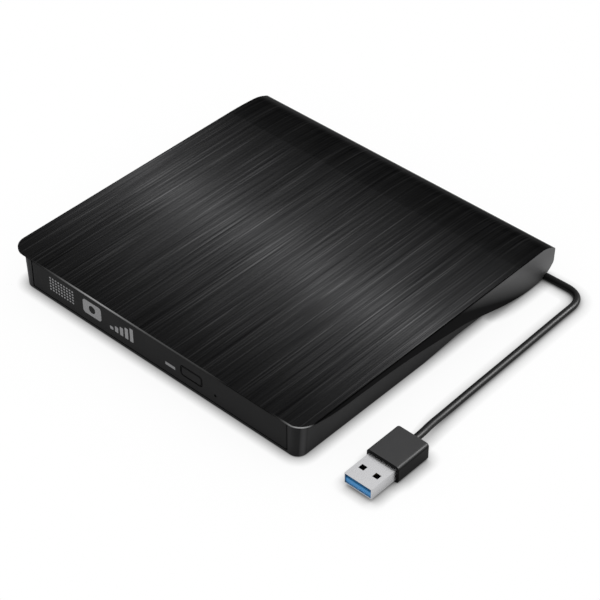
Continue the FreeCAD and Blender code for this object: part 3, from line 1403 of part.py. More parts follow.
# Latch
def latch_lever():
    """Bell crank, shown released: hook arm to the rear, push arm towards the pinhole's slider."""
    px = LATCH_PIVOT[0]
    py = back(LATCH_PIVOT[1])
    z0, z1 = LATCH_Z
    half = LATCH_ARM_HALF
    hub = cylinder(px, py, z0, z1, LATCH_HUB_RADIUS)
    arm = box(px - half, px + half, py, py + LATCH_ARM + LINK_RADIUS, z0, z1)
    pin_y = back(LATCH_PIN[1])
    hook = polygon_slab([
        (px, pin_y + 1.6), (px - 4.2, pin_y + 1.5), (px - 4.2, pin_y + 2.3), (px, pin_y + 4.2),
    ], z0, z1)
    far = px - LATCH_PUSH
    push = polygon_slab([(px, py - half), (px, py + half), (far, py + 1.4), (far, py)], z0, z1)
    link = cylinder(px, py + LATCH_ARM, z0, z1 + 1.0, LINK_RADIUS)
    lever = hub.multiFuse([arm, hook, push, link])
    lever = lever.cut(cylinder(px, py, z0 - 1, z1 + 1, LATCH_PIVOT_RADIUS + RUNNING_GAP))
    lever.rotate(V(px, py, 0), V(0, 0, 1), -LATCH_RELEASE)
    return lever.removeSplitter()


def latch_link_point():
    """Where the lever's link pin stands when the latch is released."""
    angle = math.radians(90.0 - LATCH_RELEASE)
    x = LATCH_PIVOT[0] + LATCH_ARM * math.cos(angle)
    y = back(LATCH_PIVOT[1]) + LATCH_ARM * math.sin(angle)
    return x, y


def solenoid_plunger():
    """Iron plunger with a fork over the lever's link pin."""
    x, y = latch_link_point()
    z = PLUNGER_Z
    near, far = PLUNGER_REACH
    bar = rod(V(x + near, y, z), V(x + far, y, z), PLUNGER_RADIUS)
    low = LATCH_Z[1] + 0.15
    fork = box(x - 1.3, x + 2.6, y - 1.7, y + 1.7, low, low + 0.8)
    inner = LINK_RADIUS + 0.15
    fork = fork.cut(box(x - inner, x + inner, y - 1.3, y + 1.3, 0, BODY_HEIGHT))
    return bar.fuse(fork).removeSplitter()


def latch_solenoid():
    """Coil box with the plunger's bore, hung from the tray's plate."""
    x, y = latch_link_point()
    z = PLUNGER_Z
    x0 = x + SOLENOID_START
    x1 = TRAY_HALF - RUNNER_ROOT - 0.2
    half = SOLENOID_HALF
    body = box(x0, x1, y - half, y + half, z - 2.2, TRAY_PLATE)
    return body.cut(rod(V(x0 - 1, y, z), V(x1 - 0.6, y, z), PLUNGER_RADIUS + RUNNING_GAP))


def emergency_slider():
    """Slide behind the pinhole that a straight wire pushes against the lever."""
    x, z = PINHOLE
    z0, z1 = LATCH_Z
    y0 = back(BEZEL_BACK + TRAY_WALL + 0.4)
    half = SLIDER_HALF
    body = box(x - half, x + half, y0, y0 + 1.4, z - 1.0, TRAY_PLATE - 0.1)
    bar = box(x - SLIDER_BAR_HALF, x + SLIDER_BAR_HALF, y0, SLIDER_END, z0, z1)
    return body.fuse(bar).removeSplitter()


def build():
    os.makedirs("parts", exist_ok=True)
    pieces = {
        "top_cover": top_cover(),
        "bottom_case": bottom_case(),
        "rubber_feet": rubber_feet(),
        "case_screws": case_screws(),
        "cable_grommet": cable_grommet(),
        "cable": cable(),
        "plug_housing": plug_housing(),
        "plug_shell": plug_shell(),
        "plug_tongue": plug_tongue(),
        "plug_contacts": plug_contacts(),
        "bridge_board": bridge_board(),
        "bridge_chips": bridge_chips(),
        "sata_socket": sata_socket(),
        "sata_plug": sata_plug(),
        "main_board": main_board(),
        "main_board_chips": main_board_chips(),
        "flex_cable": flex_cable(),
        "drive_base": drive_base(),
        "drive_lid": drive_lid(),
        "foam_pads": foam_pads(),
        "latch_pin": latch_pin(),
        "side_guide_left": side_guide(-1),
        "side_guide_right": side_guide(1),
        "rail_left": rail(-1),
        "rail_right": rail(1),
        "pusher_guide": pusher_guide(),
        "eject_pusher": eject_pusher(),
        "eject_spring": eject_spring(),
        "bezel": bezel(),
        "eject_button": eject_button(),
        "led_window": led_window(),
        "front_board": front_board(),
        "status_led": status_led(),
        "eject_switch": eject_switch(),
        "tray": tray(),
        "tray_floor": tray_floor(),
        "mechanism_chassis": mechanism_chassis(),
        "guide_rods": guide_rods(),
        "mechanism_cover": mechanism_cover(),
        "rubber_dampers": rubber_dampers(),
        "mechanism_screws": mechanism_screws(),
        "spindle_motor": spindle_motor(),
        "turntable": turntable(),
        "friction_ring": friction_ring(),
        "pickup_sled": pickup_sled(),
        "sled_nut": sled_nut(),
        "lens_cover": lens_cover(),
        "lens_holder": lens_holder(),
        "objective_lens": objective_lens(),
        "sled_motor": sled_motor(),
        "lead_screw": lead_screw(),
        "latch_lever": latch_lever(),
        "solenoid_plunger": solenoid_plunger(),
        "latch_solenoid": latch_solenoid(),
        "emergency_slider": emergency_slider(),
    }
    for index, angle in enumerate(DOG_ANGLES):
        pieces["chucking_dog_%d" % (index + 1)] = chucking_dog(angle)
    for name, shape in pieces.items():
        export(name, shape)
        if not shape.isValid():
            print("not valid", name)
    print(len(pieces), "pieces")


build()
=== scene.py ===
import math

import bmesh
import bpy
from mathutils import Matrix, Vector

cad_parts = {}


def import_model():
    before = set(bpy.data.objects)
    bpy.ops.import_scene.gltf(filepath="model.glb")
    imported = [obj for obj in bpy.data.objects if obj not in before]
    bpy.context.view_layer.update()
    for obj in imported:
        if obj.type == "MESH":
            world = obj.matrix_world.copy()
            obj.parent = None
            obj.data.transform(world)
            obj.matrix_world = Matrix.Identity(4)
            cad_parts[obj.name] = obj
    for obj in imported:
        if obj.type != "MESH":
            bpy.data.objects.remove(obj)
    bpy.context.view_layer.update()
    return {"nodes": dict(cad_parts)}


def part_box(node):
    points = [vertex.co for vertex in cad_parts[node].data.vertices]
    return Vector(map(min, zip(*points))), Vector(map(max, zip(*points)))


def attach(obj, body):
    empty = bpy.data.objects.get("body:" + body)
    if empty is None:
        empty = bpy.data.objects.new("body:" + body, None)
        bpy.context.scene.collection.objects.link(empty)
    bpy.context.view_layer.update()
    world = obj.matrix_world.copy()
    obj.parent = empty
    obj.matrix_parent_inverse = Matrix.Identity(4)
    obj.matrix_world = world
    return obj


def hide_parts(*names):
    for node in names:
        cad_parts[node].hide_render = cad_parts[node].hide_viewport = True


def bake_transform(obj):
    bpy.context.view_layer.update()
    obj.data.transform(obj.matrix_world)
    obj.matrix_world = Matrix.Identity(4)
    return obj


# External disc drive on a white table. Metres, in the CAD frame:
# +X right seen from the front, +Y to the rear, +Z up, the table at Z 0.
# Lengths in the tables below are in millimetres where their comment says so.

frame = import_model()
nodes = frame["nodes"]

MM = 0.001
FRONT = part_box("top_cover")[0][1]
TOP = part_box("top_cover")[1][2]
HALF_WIDTH = -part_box("top_cover")[0][0]

# Camera, solved from the photograph; its place is from the middle of the cover's front edge
CAMERA_PLACE = Vector((393.36 * MM, FRONT - 352.28 * MM, 479.60 * MM))
CAMERA_RIGHT = Vector((0.73731, 0.67555, 0.00234))
CAMERA_BACK = Vector((0.51357, -0.56277, 0.64772))
CAMERA_LENS = 119.96

# Lead: the part's own centre points, in millimetres: X, distance behind the front edge, Z
CORD_RADIUS = 1.45 * MM
LEAD_ROUTE = (
    (35.0, 133.7, 5.0),
    (43.0, 133.7, 5.0),
    (52.0, 134.3, 2.6),
    (61.5, 135.3, 1.5),
    (74.0, 135.7, 1.5),
    (90.5, 135.75, 1.5),
    (90.6, 119.0, 1.5),
    (91.25, 90.0, 1.5),
    (91.6, 66.0, 1.5),
    (92.2, 52.0, 1.9),
    (93.1, 43.0, 3.2),
    (94.0, 37.5, 3.75),
    (94.0, 32.6, 3.75),
)

# Plate: colours of its metallic coat, from the darkest streak to a scratch, and its gloss
PLATE_BASE = (0.008, 0.008, 0.009)
PLATE_DARK = (0.0018, 0.0018, 0.0019)
PLATE_LIGHT = (0.0112, 0.0112, 0.0114)
PLATE_SCRATCH = (0.019, 0.019, 0.0192)
PLATE_GRAZING = (0.5, 0.5, 0.5, 1.0)
DARK_ROUGHNESS, LIGHT_ROUGHNESS, SIDE_ROUGHNESS = 0.19, 0.14, 0.5

# Streaks of the plate: marks a metre across and along it, and detail of the noise
FINE_STREAKS = (6400.0, 18.0, 1.0)
BROAD_STREAKS = (3300.0, 9.0, 1.0)
SPARSE_STREAKS = (4000.0, 24.0, 0.0)
BROAD_SHARE = 0.36
STREAK_SPAN = (0.4, 0.92)
GROOVE_SPAN, GROOVE_TONE = (0.27, 0.37), 0.35
SCRATCH_SPAN = (0.66, 0.8)

# Sides of the cover: colours with painted light and shade in them, and where they change, in
# millimetres
# Painted shade on the flank and the nose's end, painted light on the nose
SHADED_FLANK = (0.011, 0.011, 0.0112)
SHADED_NOSE_END = (0.022, 0.022, 0.0221)
LIT_NOSE_LOW = (0.2, 0.2, 0.201)
LIT_NOSE_HIGH = (0.165, 0.165, 0.166)
# Painted shadow: a black line under the plate's edge
PAINTED_SHADOW_LINE = (0.0015, 0.0015, 0.0015)
LIT_NOSE_BACK, LIT_NOSE_SLANT = (123.0, 150.0), 2.5
LIT_NOSE_HEIGHT = (4.0, 12.0)
SHADOW_LINE_DEPTH = (0.95, 0.75)

# Painted highlight on the plate's front edge: its colour, how much of it shows at each X,
# and how far down and back it reaches, in millimetres
RIM_HIGHLIGHT = (0.44, 0.44, 0.442)
RIM_HIGHLIGHT_SHARES = (
    (-66.0, 0.008), (-56.0, 0.036), (-48.0, 0.13), (-40.0, 0.33), (-30.0, 0.68), (-22.0, 0.59),
    (-12.0, 0.33), (0.0, 0.155), (28.0, 0.075), (38.0, 0.01), (58.0, 0.006), (63.0, 0.05),
    (66.2, 0.25), (68.0, 0.5), (69.6, 0.76), (71.4, 0.8), (72.2, 0.66), (72.8, 0.42),
)
RIM_HIGHLIGHT_DEPTH = (0.75, 0.68)
RIM_HIGHLIGHT_BACK = (8.0, 6.5)

# Button, the painted shadow in the gap round it, and printed marks on the tray's front, in
# millimetres of X and Z
BUTTON_MIDDLE, BUTTON_HALF = (18.65, 7.25), (5.0, 2.0)
GAP_OUTSIDE, GAP_INSIDE = (0.42, 1.4), (0.1, 1.1)
GRID_COUNT, GRID_START, GRID_STEP, GRID_SQUARE = (9, 5), (-54.6, 5.2), (1.5, 1.33), (0.85, 0.72)
SQUARE_MARK, SQUARE_RADIUS, SQUARE_HOLE = (-36.7, -27.1, 5.1, 11.4), 1.3, (-31.9, 8.25, 1.7)
BAR_START, BAR_STEP, BAR_WIDTH = (-22.6, 5.1), 2.6, 1.7
BAR_HEIGHTS = (1.4, 2.6, 3.8, 5.0, 6.2)
MARK_HALF_DEPTH = 0.02 * MM

# Inner pieces
TONGUE_ROOT = 3.0 * MM
TONGUE_EDGE = 0.12 * MM
SPRING_WIRE = 0.17 * MM
SPRING_TURNS = 6.5
RIBBON_SHEET = 0.12 * MM
RIBBON_FOLD = 0.1 * MM
SCREW_RADIUS, SCREW_HEAD, SCREW_SHANK = 1.6 * MM, 0.8 * MM, 0.85 * MM
CROSS_TURN = 5.6  # degrees, so that the cross's edges miss the corners of the screw's mesh

# Shadow on the table: how far off the object throws it, and how strong it is
CONTACT_SHADOW = (5.0 * MM, 1.4)
WIDE_SHADOW = (50.0 * MM, 0.07)

# Lamps of the plate's light band: millimetres behind the front edge, distance, size, power
BAND_LAMPS = (
    ("strip", 72.0, 0.4, (0.9, 0.02), 0.62),
    ("softbox", 70.0, 0.42, (0.9, 0.1), 0.75),
)
LEAD_LAMP_TARGET = Vector((91.0 * MM, FRONT + 60.0 * MM, 3.0 * MM))
LEAD_LAMP_OFFSET = 0.5 * Vector((0.51, 0.56, 0.65))
LEAD_LAMP_SIZE, LEAD_LAMP_POWER = (0.16, 0.3), 17.0
OVERHEAD_PLACE, OVERHEAD_SIZE, OVERHEAD_POWER = (-0.3, -0.2, 1.6), (2.2, 2.2), 12.0
WORLD_SCATTERED, WORLD_SEEN = 0.6, 1.0
TABLE_HALF = 3.0


def back(distance):
    """Y of what lies this many millimetres behind the cover's front edge."""
    return FRONT + distance * MM


# Material helpers. Those that build nodes return the output socket of the last one.
def new_material(name, color, roughness, specular=0.5, metallic=0.0):
    material = bpy.data.materials.new(name)
    material.use_nodes = True
    shader = shader_of(material)
    shader.inputs["Base Color"].default_value = (*color, 1.0)
    shader.inputs["Roughness"].default_value = roughness
    shader.inputs["Specular IOR Level"].default_value = specular
    shader.inputs["Metallic"].default_value = metallic
    return material


def shader_of(material):
    return material.node_tree.nodes["Principled BSDF"]


def add(material, kind, **inputs):
    """A new node; each keyword sets the input of that name, with underscores for spaces."""
    node = material.node_tree.nodes.new(kind)
    for key, value in inputs.items():
        node.inputs[key.replace("_", " ")].default_value = value
    return node


def link(source, target):
    """Joins an output socket to an input socket of the same tree."""
    source.id_data.links.new(source, target)


def noise(material, scale, stretch=(1, 1, 1), detail=2.0, roughness=0.5):
    """Noise in the object's own metres, stretched along each axis."""
    place = add(material, "ShaderNodeTexCoord")
    mapping = add(material, "ShaderNodeMapping", Scale=stretch)
    texture = add(
        material, "ShaderNodeTexNoise", Scale=scale, Detail=detail, Roughness=roughness,
    )
    link(place.outputs["Object"], mapping.inputs["Vector"])
    link(mapping.outputs["Vector"], texture.inputs["Vector"])
    return texture.outputs["Fac"]


def ramp(material, value, low, high, span=(0.35, 0.65)):
    """Turns a value within the span into one between low and high."""
    node = add(
        material, "ShaderNodeMapRange",
        From_Min=span[0], From_Max=span[1], To_Min=low, To_Max=high,
    )
    link(value, node.inputs["Value"])
    return node.outputs["Result"]


def combine(material, operation, first, second):
    """One arithmetic step on a socket and either another socket or a number."""
    node = add(material, "ShaderNodeMath")
    node.operation = operation
    link(first, node.inputs[0])
    if isinstance(second, bpy.types.NodeSocket):
        link(second, node.inputs[1])
    else:
        node.inputs[1].default_value = second
    return node.outputs["Value"]


def mix(material, factor, first, second):
    """Mix of two colours, each a plain colour or a socket."""
    node = add(material, "ShaderNodeMix")
    node.data_type = "RGBA"
    link(factor, node.inputs["Factor"])
    for name, value in (("A", first), ("B", second)):
        if isinstance(value, bpy.types.NodeSocket):
            link(value, node.inputs[name])
        else:
            node.inputs[name].default_value = (*value, 1.0)
    return node.outputs["Result"]


def overlay(material, factor, color):
    """Lays a colour over the base colour that the material has so far."""
    base = shader_of(material).inputs["Base Color"]
    link(mix(material, factor, base.links[0].from_socket, color), base)


def component(material, kind, output, axis):
    """X, Y or Z of what a node of this kind gives."""
    split = add(material, "ShaderNodeSeparateXYZ")
    link(add(material, kind).outputs[output], split.inputs["Vector"])
    return split.outputs[axis]


def place_along(material, axis):
    """Place on the surface along an axis of the CAD frame."""
    return component(material, "ShaderNodeTexCoord", "Object", axis)


def facing(material, axis):
    """How far the surface faces along an axis."""
    return component(material, "ShaderNodeNewGeometry", "Normal", axis)


def facing_up(material, low, high):
    """Goes from 0 to 1 as the upward part of the normal goes from low to high, or back down."""
    return ramp(material, facing(material, "Z"), 0.0, 1.0, (low, high))


def between(material, axis, start, end):
    """Goes from 0 at the start to 1 at the end, which are two places along an axis."""
    return ramp(material, place_along(material, axis), 0.0, 1.0, (start, end))


def relief(material, height, strength, distance, edge):
    """Bump on the shader, over sharp edges that are rounded a little in shading only."""
    node = add(material, "ShaderNodeBump", Strength=strength, Distance=distance)
    link(height, node.inputs["Height"])
    if edge:
        rounded = add(material, "ShaderNodeBevel", Radius=edge * MM)
        rounded.samples = 6
        link(rounded.outputs["Normal"], node.inputs["Normal"])
    link(node.outputs["Normal"], shader_of(material).inputs["Normal"])


def plastic(name, color, roughness=0.45, specular=0.3, grain=9000.0, depth=0.15, edge=0.25):
    """Moulded plastic with a fine spark-eroded grain and slightly varied colour and gloss."""
    material = new_material(name, color, roughness, specular)
    shader = shader_of(material)
    fine = noise(material, grain, detail=3.0, roughness=0.6)
    cloud = noise(material, 60.0, detail=3.0)
    gloss = ramp(material, cloud, roughness - 0.05, roughness + 0.05)
    link(gloss, shader.inputs["Roughness"])
    darker, lighter = [tuple(channel * share for channel in color) for share in (0.8, 1.2)]
    link(mix(material, cloud, darker, lighter), shader.inputs["Base Color"])
    relief(material, fine, depth, 0.02 * MM, edge)
    return material


def metal(
    name, color, roughness=0.3, stretch=(1, 1, 1), grain=3000.0, depth=0.1, edge=0.15, vary=0.25,
):
    """Metal with drawn or turned marks along the axis that is stretched least."""
    material = new_material(name, color, roughness, 0.5, 1.0)
    marks = noise(material, grain, stretch, detail=3.0)
    gloss = ramp(material, marks, roughness * (1 - vary), roughness * (1 + 1.2 * vary))
    link(gloss, shader_of(material).inputs["Roughness"])
    relief(material, marks, depth, 0.01 * MM, edge)
    return material


# Materials
def streaks(material, across, along, detail):
    """Noise drawn out front to rear."""
    return noise(material, 1.0, (across, along, along), detail, 0.6)


def plate_top(material):
    """Colour of the brushing, and its tone from 0 in a groove to 1."""
    broad = streaks(material, *BROAD_STREAKS)
    fine = streaks(material, *FINE_STREAKS)
    sparse = streaks(material, *SPARSE_STREAKS)
    weak = combine(material, "MULTIPLY", broad, BROAD_SHARE)
    mixed = combine(material, "ADD", fine, weak)
    level = ramp(material, mixed, 0.0, 1.0, STREAK_SPAN)
    groove = ramp(material, sparse, GROOVE_TONE, 1.0, GROOVE_SPAN)
    tone = combine(material, "MULTIPLY", level, groove)
    brushed = mix(material, tone, PLATE_DARK, PLATE_LIGHT)
    scratch = ramp(material, sparse, 0.0, 1.0, SCRATCH_SPAN)
    return mix(material, scratch, brushed, PLATE_SCRATCH), tone


def plate_sides_painted_light(material):
    """Painted light on the sides: a lit nose, painted shade towards the front and on the nose's
    end, and a painted shadow line under the plate.
    """
    # Painted light: lighter towards the rear and up the nose, painted shade further forward
    lift = combine(material, "MULTIPLY", place_along(material, "Z"), LIT_NOSE_SLANT)
    slant = combine(material, "ADD", place_along(material, "Y"), lift)
    lit_rearward = ramp(material, slant, 0.0, 1.0, [back(distance) for distance in LIT_NOSE_BACK])
    height = between(material, "Z", *[level * MM for level in LIT_NOSE_HEIGHT])
    lit_nose = mix(material, height, LIT_NOSE_LOW, LIT_NOSE_HIGH)
    sideways = combine(material, "ABSOLUTE", facing(material, "X"), 0.0)
    is_side = ramp(material, sideways, 0.0, 1.0, (0.5, 0.8))
    end = mix(material, is_side, SHADED_NOSE_END, lit_nose)
    shaded_flank = mix(material, lit_rearward, SHADED_FLANK, end)
    # Painted shadow line under the plate's edge, along the top of the sides
    upper = between(material, "Z", *[TOP - depth * MM for depth in SHADOW_LINE_DEPTH])
    return mix(material, upper, shaded_flank, PAINTED_SHADOW_LINE)


def painted_rim_highlight(material):
    """How much of the painted highlight shows: on the plate's front edge and round its right
    corner.
    """
    tones = add(material, "ShaderNodeValToRGB")
    stops = tones.color_ramp.elements
    for x, tone in RIM_HIGHLIGHT_SHARES:
        stop = stops.new((x * MM + HALF_WIDTH) / (2 * HALF_WIDTH))
        stop.color = (tone, tone, tone, 1.0)
    stops[len(stops) - 1].color = (0.0, 0.0, 0.0, 1.0)
    link(between(material, "X", -HALF_WIDTH, HALF_WIDTH), tones.inputs["Fac"])
    forward = between(material, "Y", *[back(distance) for distance in RIM_HIGHLIGHT_BACK])
    upper = between(material, "Z", *[TOP - depth * MM for depth in RIM_HIGHLIGHT_DEPTH])
    shown = combine(material, "MULTIPLY", tones.outputs["Color"], forward)
    shown = combine(material, "MULTIPLY", shown, upper)
    return combine(material, "MULTIPLY", shown, facing_up(material, 0.9, 0.75))


def brushed_cover():
    """Plate: dark metallic coat with fine streaks on top; satin with painted light and shade on
    its sides and below, and a painted highlight on its front edge.
    """
    material = new_material("brushed_cover", PLATE_BASE, DARK_ROUGHNESS, 0.5, 1.0)
    shader = shader_of(material)
    shader.inputs["Specular Tint"].default_value = PLATE_GRAZING
    is_top = facing_up(material, 0.35, 0.6)
    top, tone = plate_top(material)
    colour = mix(material, is_top, plate_sides_painted_light(material), top)
    # Painted highlight laid over the plate's colour on its front edge
    link(mix(material, painted_rim_highlight(material), colour, RIM_HIGHLIGHT), shader.inputs["Base Color"])

    gloss = ramp(material, tone, DARK_ROUGHNESS, LIGHT_ROUGHNESS, (0.0, 1.0))
    roughness = add(material, "ShaderNodeMix", A=SIDE_ROUGHNESS)
    link(is_top, roughness.inputs["Factor"])
    link(gloss, roughness.inputs["B"])
    link(roughness.outputs["Result"], shader.inputs["Roughness"])
    relief(material, combine(material, "MULTIPLY", tone, is_top), 0.05, 0.01 * MM, 0.2)
    return material


def case_plastic():
    """Satin case, with a painted highlight on its upright front corners."""
    material = plastic("case_black", (0.012, 0.012, 0.0125), 0.42, 0.07, edge=0.1)
    # Painted highlight where the upright front corners face out to the side and forward
    outward = combine(material, "ABSOLUTE", facing(material, "X"), 0.0)
    sideways = combine(material, "MULTIPLY", outward, 0.9)
    forward = combine(material, "MULTIPLY", facing(material, "Y"), -0.43)
    corner = combine(material, "ADD", sideways, forward)
    overlay(material, ramp(material, corner, 0.0, 1.0, (0.94, 1.0)), (0.05, 0.05, 0.051))
    return material


def plug_plastic():
    """Plug's overmould: fine matte texture, with painted shade darkening its sides."""
    material = plastic(
        "plug_black", (0.055, 0.055, 0.056), 0.42, 0.05, grain=6000.0, depth=0.12, edge=0.0,
    )
    # Painted shade: the sides darker than the top
    overlay(material, facing_up(material, 0.8, 0.3), (0.003, 0.003, 0.0031))
    return material


def tongue_plastic():
    """Blue at the plug's mouth, with painted shade making it dark further inside the shell."""
    material = plastic(
        "tongue_blue", (0.055, 0.27, 0.58), 0.3, 0.3, grain=5000.0, depth=0.05, edge=0.0,
    )
    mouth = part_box("plug_tongue")[0][1]
    # Painted shade inside the plug, beyond its mouth
    painted_shade_inward = between(material, "Y", mouth + 2.6 * MM, mouth + 3.2 * MM)
    overlay(material, painted_shade_inward, (0.008, 0.009, 0.012))
    return material


def ribbon_film():
    """Amber film with the lines of its conductors."""
    material = plastic(
        "ribbon_film", (0.42, 0.25, 0.07), 0.3, 0.4, grain=3000.0, depth=0.05, edge=0.05,
    )
    wave = add(material, "ShaderNodeTexWave", Scale=160.0, Distortion=0.0)
    wave.bands_direction = "X"
    link(add(material, "ShaderNodeTexCoord").outputs["Object"], wave.inputs["Vector"])
    lines = ramp(material, wave.outputs["Fac"], 0.0, 1.0, (0.35, 0.6))
    overlay(material, lines, (0.62, 0.4, 0.13))
    return material


def glass():
    """Lens with a bluish coating that is a little uneven in colour and gloss."""
    material = new_material("coated_lens", (0.25, 0.4, 0.75), 0.04, 0.8)
    shader = shader_of(material)
    shader.inputs["Transmission Weight"].default_value = 0.6
    shader.inputs["Coat Weight"].default_value = 1.0
    cloud = noise(material, 700.0)
    colour = mix(material, cloud, (0.19, 0.31, 0.68), (0.31, 0.49, 0.82))
    link(colour, shader.inputs["Base Color"])
    link(ramp(material, cloud, 0.02, 0.07), shader.inputs["Roughness"])
    return material


def dress_nodes():
    """Gives every CAD node its material, and returns those that made pieces share."""
    sheath = plastic("lead_sheath", (0.0025, 0.0025, 0.0025), 0.48, 0.1, 2500.0, 0.002, 0.0)
    steel = metal("plain_steel", (0.5, 0.5, 0.5), 0.25)
    dark_steel = metal("black_zinc", (0.08, 0.08, 0.085), 0.35)
    blue = tongue_plastic()
    looks = {
        brushed_cover(): ["top_cover"],
        case_plastic(): ["bottom_case"],
        plastic("bezel_black", (0.0105, 0.0105, 0.0108), 0.48, 0.05, 7000.0, 0.2, 0.15): [
            "bezel", "eject_button"],
        plastic("tray_black", (0.02, 0.02, 0.021), 0.55, 0.3, 5000.0, 0.3, 0.2): ["tray"],
        plastic("foot_rubber", (0.02, 0.02, 0.02), 0.8, 0.2, 2500.0, 0.35): [
            "rubber_feet", "rubber_dampers", "friction_ring", "foam_pads"],
        sheath: ["cable", "cable_grommet"],
        plug_plastic(): ["plug_housing"],
        plastic("white_acetal", (0.62, 0.61, 0.58), 0.4, 0.45): [
            "side_guide_left", "side_guide_right", "pusher_guide", "eject_pusher", "sled_nut",
            "latch_lever", "emergency_slider",
            "chucking_dog_1", "chucking_dog_2", "chucking_dog_3"],
        plastic("board_green", (0.015, 0.09, 0.035), 0.3, 0.5): [
            "bridge_board", "main_board", "front_board"],
        plastic("chip_resin", (0.012, 0.012, 0.012), 0.6, 0.3): [
            "bridge_chips", "main_board_chips", "sata_socket", "sata_plug", "eject_switch",
            "lens_cover", "lens_holder"],
        plastic("coated_sheet", (0.02, 0.02, 0.021), 0.35, 0.5, 3000.0, 0.1): [
            "mechanism_cover"],
        metal("zinc_sheet", (0.55, 0.55, 0.54), 0.34, (1, 12, 12)): [
            "drive_base", "drive_lid", "tray_floor"],
        steel: [
            "rail_left", "rail_right", "spindle_motor", "sled_motor", "latch_solenoid",
            "eject_spring", "turntable"],
        dark_steel: ["case_screws", "mechanism_screws"],
        metal("ground_steel", (0.6, 0.6, 0.61), 0.12): [
            "guide_rods", "lead_screw", "latch_pin", "solenoid_plunger"],
        metal("plug_nickel", (0.6, 0.6, 0.61), 0.34, (20, 1, 20), 300.0, 0.0003, 0.0, 0.04): [
            "plug_shell"],
        metal("cast_alloy", (0.4, 0.4, 0.4), 0.5, (1, 1, 1), 1500.0, 0.4): [
            "mechanism_chassis", "pickup_sled"],
        metal("contact_gold", (0.75, 0.5, 0.16), 0.2): ["plug_contacts"],
        plastic("frosted_guide", (0.2, 0.2, 0.205), 0.35, 0.3, 6000.0, 0.1, 0.1): [
            "led_window", "status_led"],
        glass(): ["objective_lens"],
    }
    for material, names in looks.items():
        for name in names:
            data = nodes[name].data
            data.materials.clear()
            data.materials.append(material)
    return {"sheath": sheath, "blue": blue, "wire": steel, "screw": dark_steel}


# Lead
def lead(material):
    """The lead as one smooth cord over the part's route."""
    curve = bpy.data.curves.new("lead", "CURVE")
    curve.dimensions = "3D"
    spline = curve.splines.new("NURBS")
    spline.points.add(len(LEAD_ROUTE) - 1)
    for point, (x, distance, z) in zip(spline.points, LEAD_ROUTE):
        point.co = (x * MM, back(distance), z * MM, 1.0)
    spline.order_u = 3
    spline.use_endpoint_u = True
    spline.resolution_u = 12
    curve.bevel_depth = CORD_RADIUS
    curve.bevel_resolution = 6
    curve.use_fill_caps = True
    curve.materials.append(material)
    cord = bpy.data.objects.new("lead", curve)
    bpy.context.scene.collection.objects.link(cord)
    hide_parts("cable")
    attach(cord, "enclosure")
    x, distance, z = LEAD_ROUTE[0]
    return cord


# Mesh helpers
def new_object(name, mesh, material):
    mesh.materials.append(material)
    made = bpy.data.objects.new(name, mesh)
    bpy.context.scene.collection.objects.link(made)
    return made


def mesh_of(shape, name):
    """Mesh from a bmesh, with its faces pointing outwards."""
    bmesh.ops.recalc_face_normals(shape, faces=shape.faces)
    mesh = bpy.data.meshes.new(name)
    shape.to_mesh(mesh)
    shape.free()
    return mesh


def skin(shape, rings, capped=True):
    """Faces from each ring of corners to the next, and over both ends; a ring can be a point."""
    for first, second in zip(rings, rings[1:]):
        count = max(len(first), len(second))
        for k in range(count):
            n = (k + 1) % count
            around = ((first, k), (first, n), (second, n), (second, k))
            shape.faces.new(dict.fromkeys(ring[at % len(ring)] for ring, at in around))
    if capped:
        shape.faces.new(rings[0][::-1])
        shape.faces.new(rings[-1])


def add_slab(shape, outline, y0, y1, hole=None):
    """Upright slab from (x, z) corners in millimetres, with a hole of as many corners."""
    sections = [outline, outline] if not hole else [outline, outline, hole, hole]
    rings = [
        [shape.verts.new((x * MM, y, z * MM)) for x, z in points]
        for points, y in zip(sections, (y0, y1, y1, y0))
    ]
    if hole:
        skin(shape, rings + rings[:1], capped=False)
    else:
        skin(shape, rings)


def rounded_corners(x0, x1, z0, z1, radius, steps=8):
    """Corners of a rounded rectangle, as many in each quarter."""
    points = []
    middles = (
        (x1 - radius, z1 - radius), (x0 + radius, z1 - radius),
        (x0 + radius, z0 + radius), (x1 - radius, z0 + radius),
    )
    for quarter, (x, z) in enumerate(middles):
        for k in range(steps):
            angle = math.radians(90.0 * (quarter + k / (steps - 1)))
            points.append((x + radius * math.cos(angle), z + radius * math.sin(angle)))
    return points


def circle_corners(x, z, radius, count):
    """Corners of a circle, from the middle of its right side."""
    angles = [math.tau * k / count for k in range(count)]
    return [(x + radius * math.cos(a), z + radius * math.sin(a)) for a in angles]


# Pieces that the part holds as plain solids, or not at all
def printed_marks():
    """Printed shapes on the bezel: a grid of small squares, a rounded square, graded bars."""
    shape = bmesh.new()
    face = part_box("bezel")[0][1]
    depth = (face - MARK_HALF_DEPTH, face + MARK_HALF_DEPTH)
    for column in range(GRID_COUNT[0]):
        for row in range(GRID_COUNT[1]):
            x = GRID_START[0] + column * GRID_STEP[0]
            z = GRID_START[1] + row * GRID_STEP[1]
            wide, tall = GRID_SQUARE
            add_slab(shape, rounded_corners(x, x + wide, z, z + tall, 0.15, 4), *depth)
    square = rounded_corners(*SQUARE_MARK, SQUARE_RADIUS)
    add_slab(shape, square, *depth, circle_corners(*SQUARE_HOLE, len(square)))
    z = BAR_START[1]
    for column, height in enumerate(BAR_HEIGHTS):
        x = BAR_START[0] + column * BAR_STEP
        add_slab(shape, rounded_corners(x, x + BAR_WIDTH, z, z + height, 0.3), *depth)
    ink = plastic("grey_print", (0.27, 0.27, 0.275), 0.5, 0.2, 5000.0, 0.1, 0.02)
    marks = new_object("printed_marks", mesh_of(shape, "printed_marks"), ink)
    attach(marks, "tray")


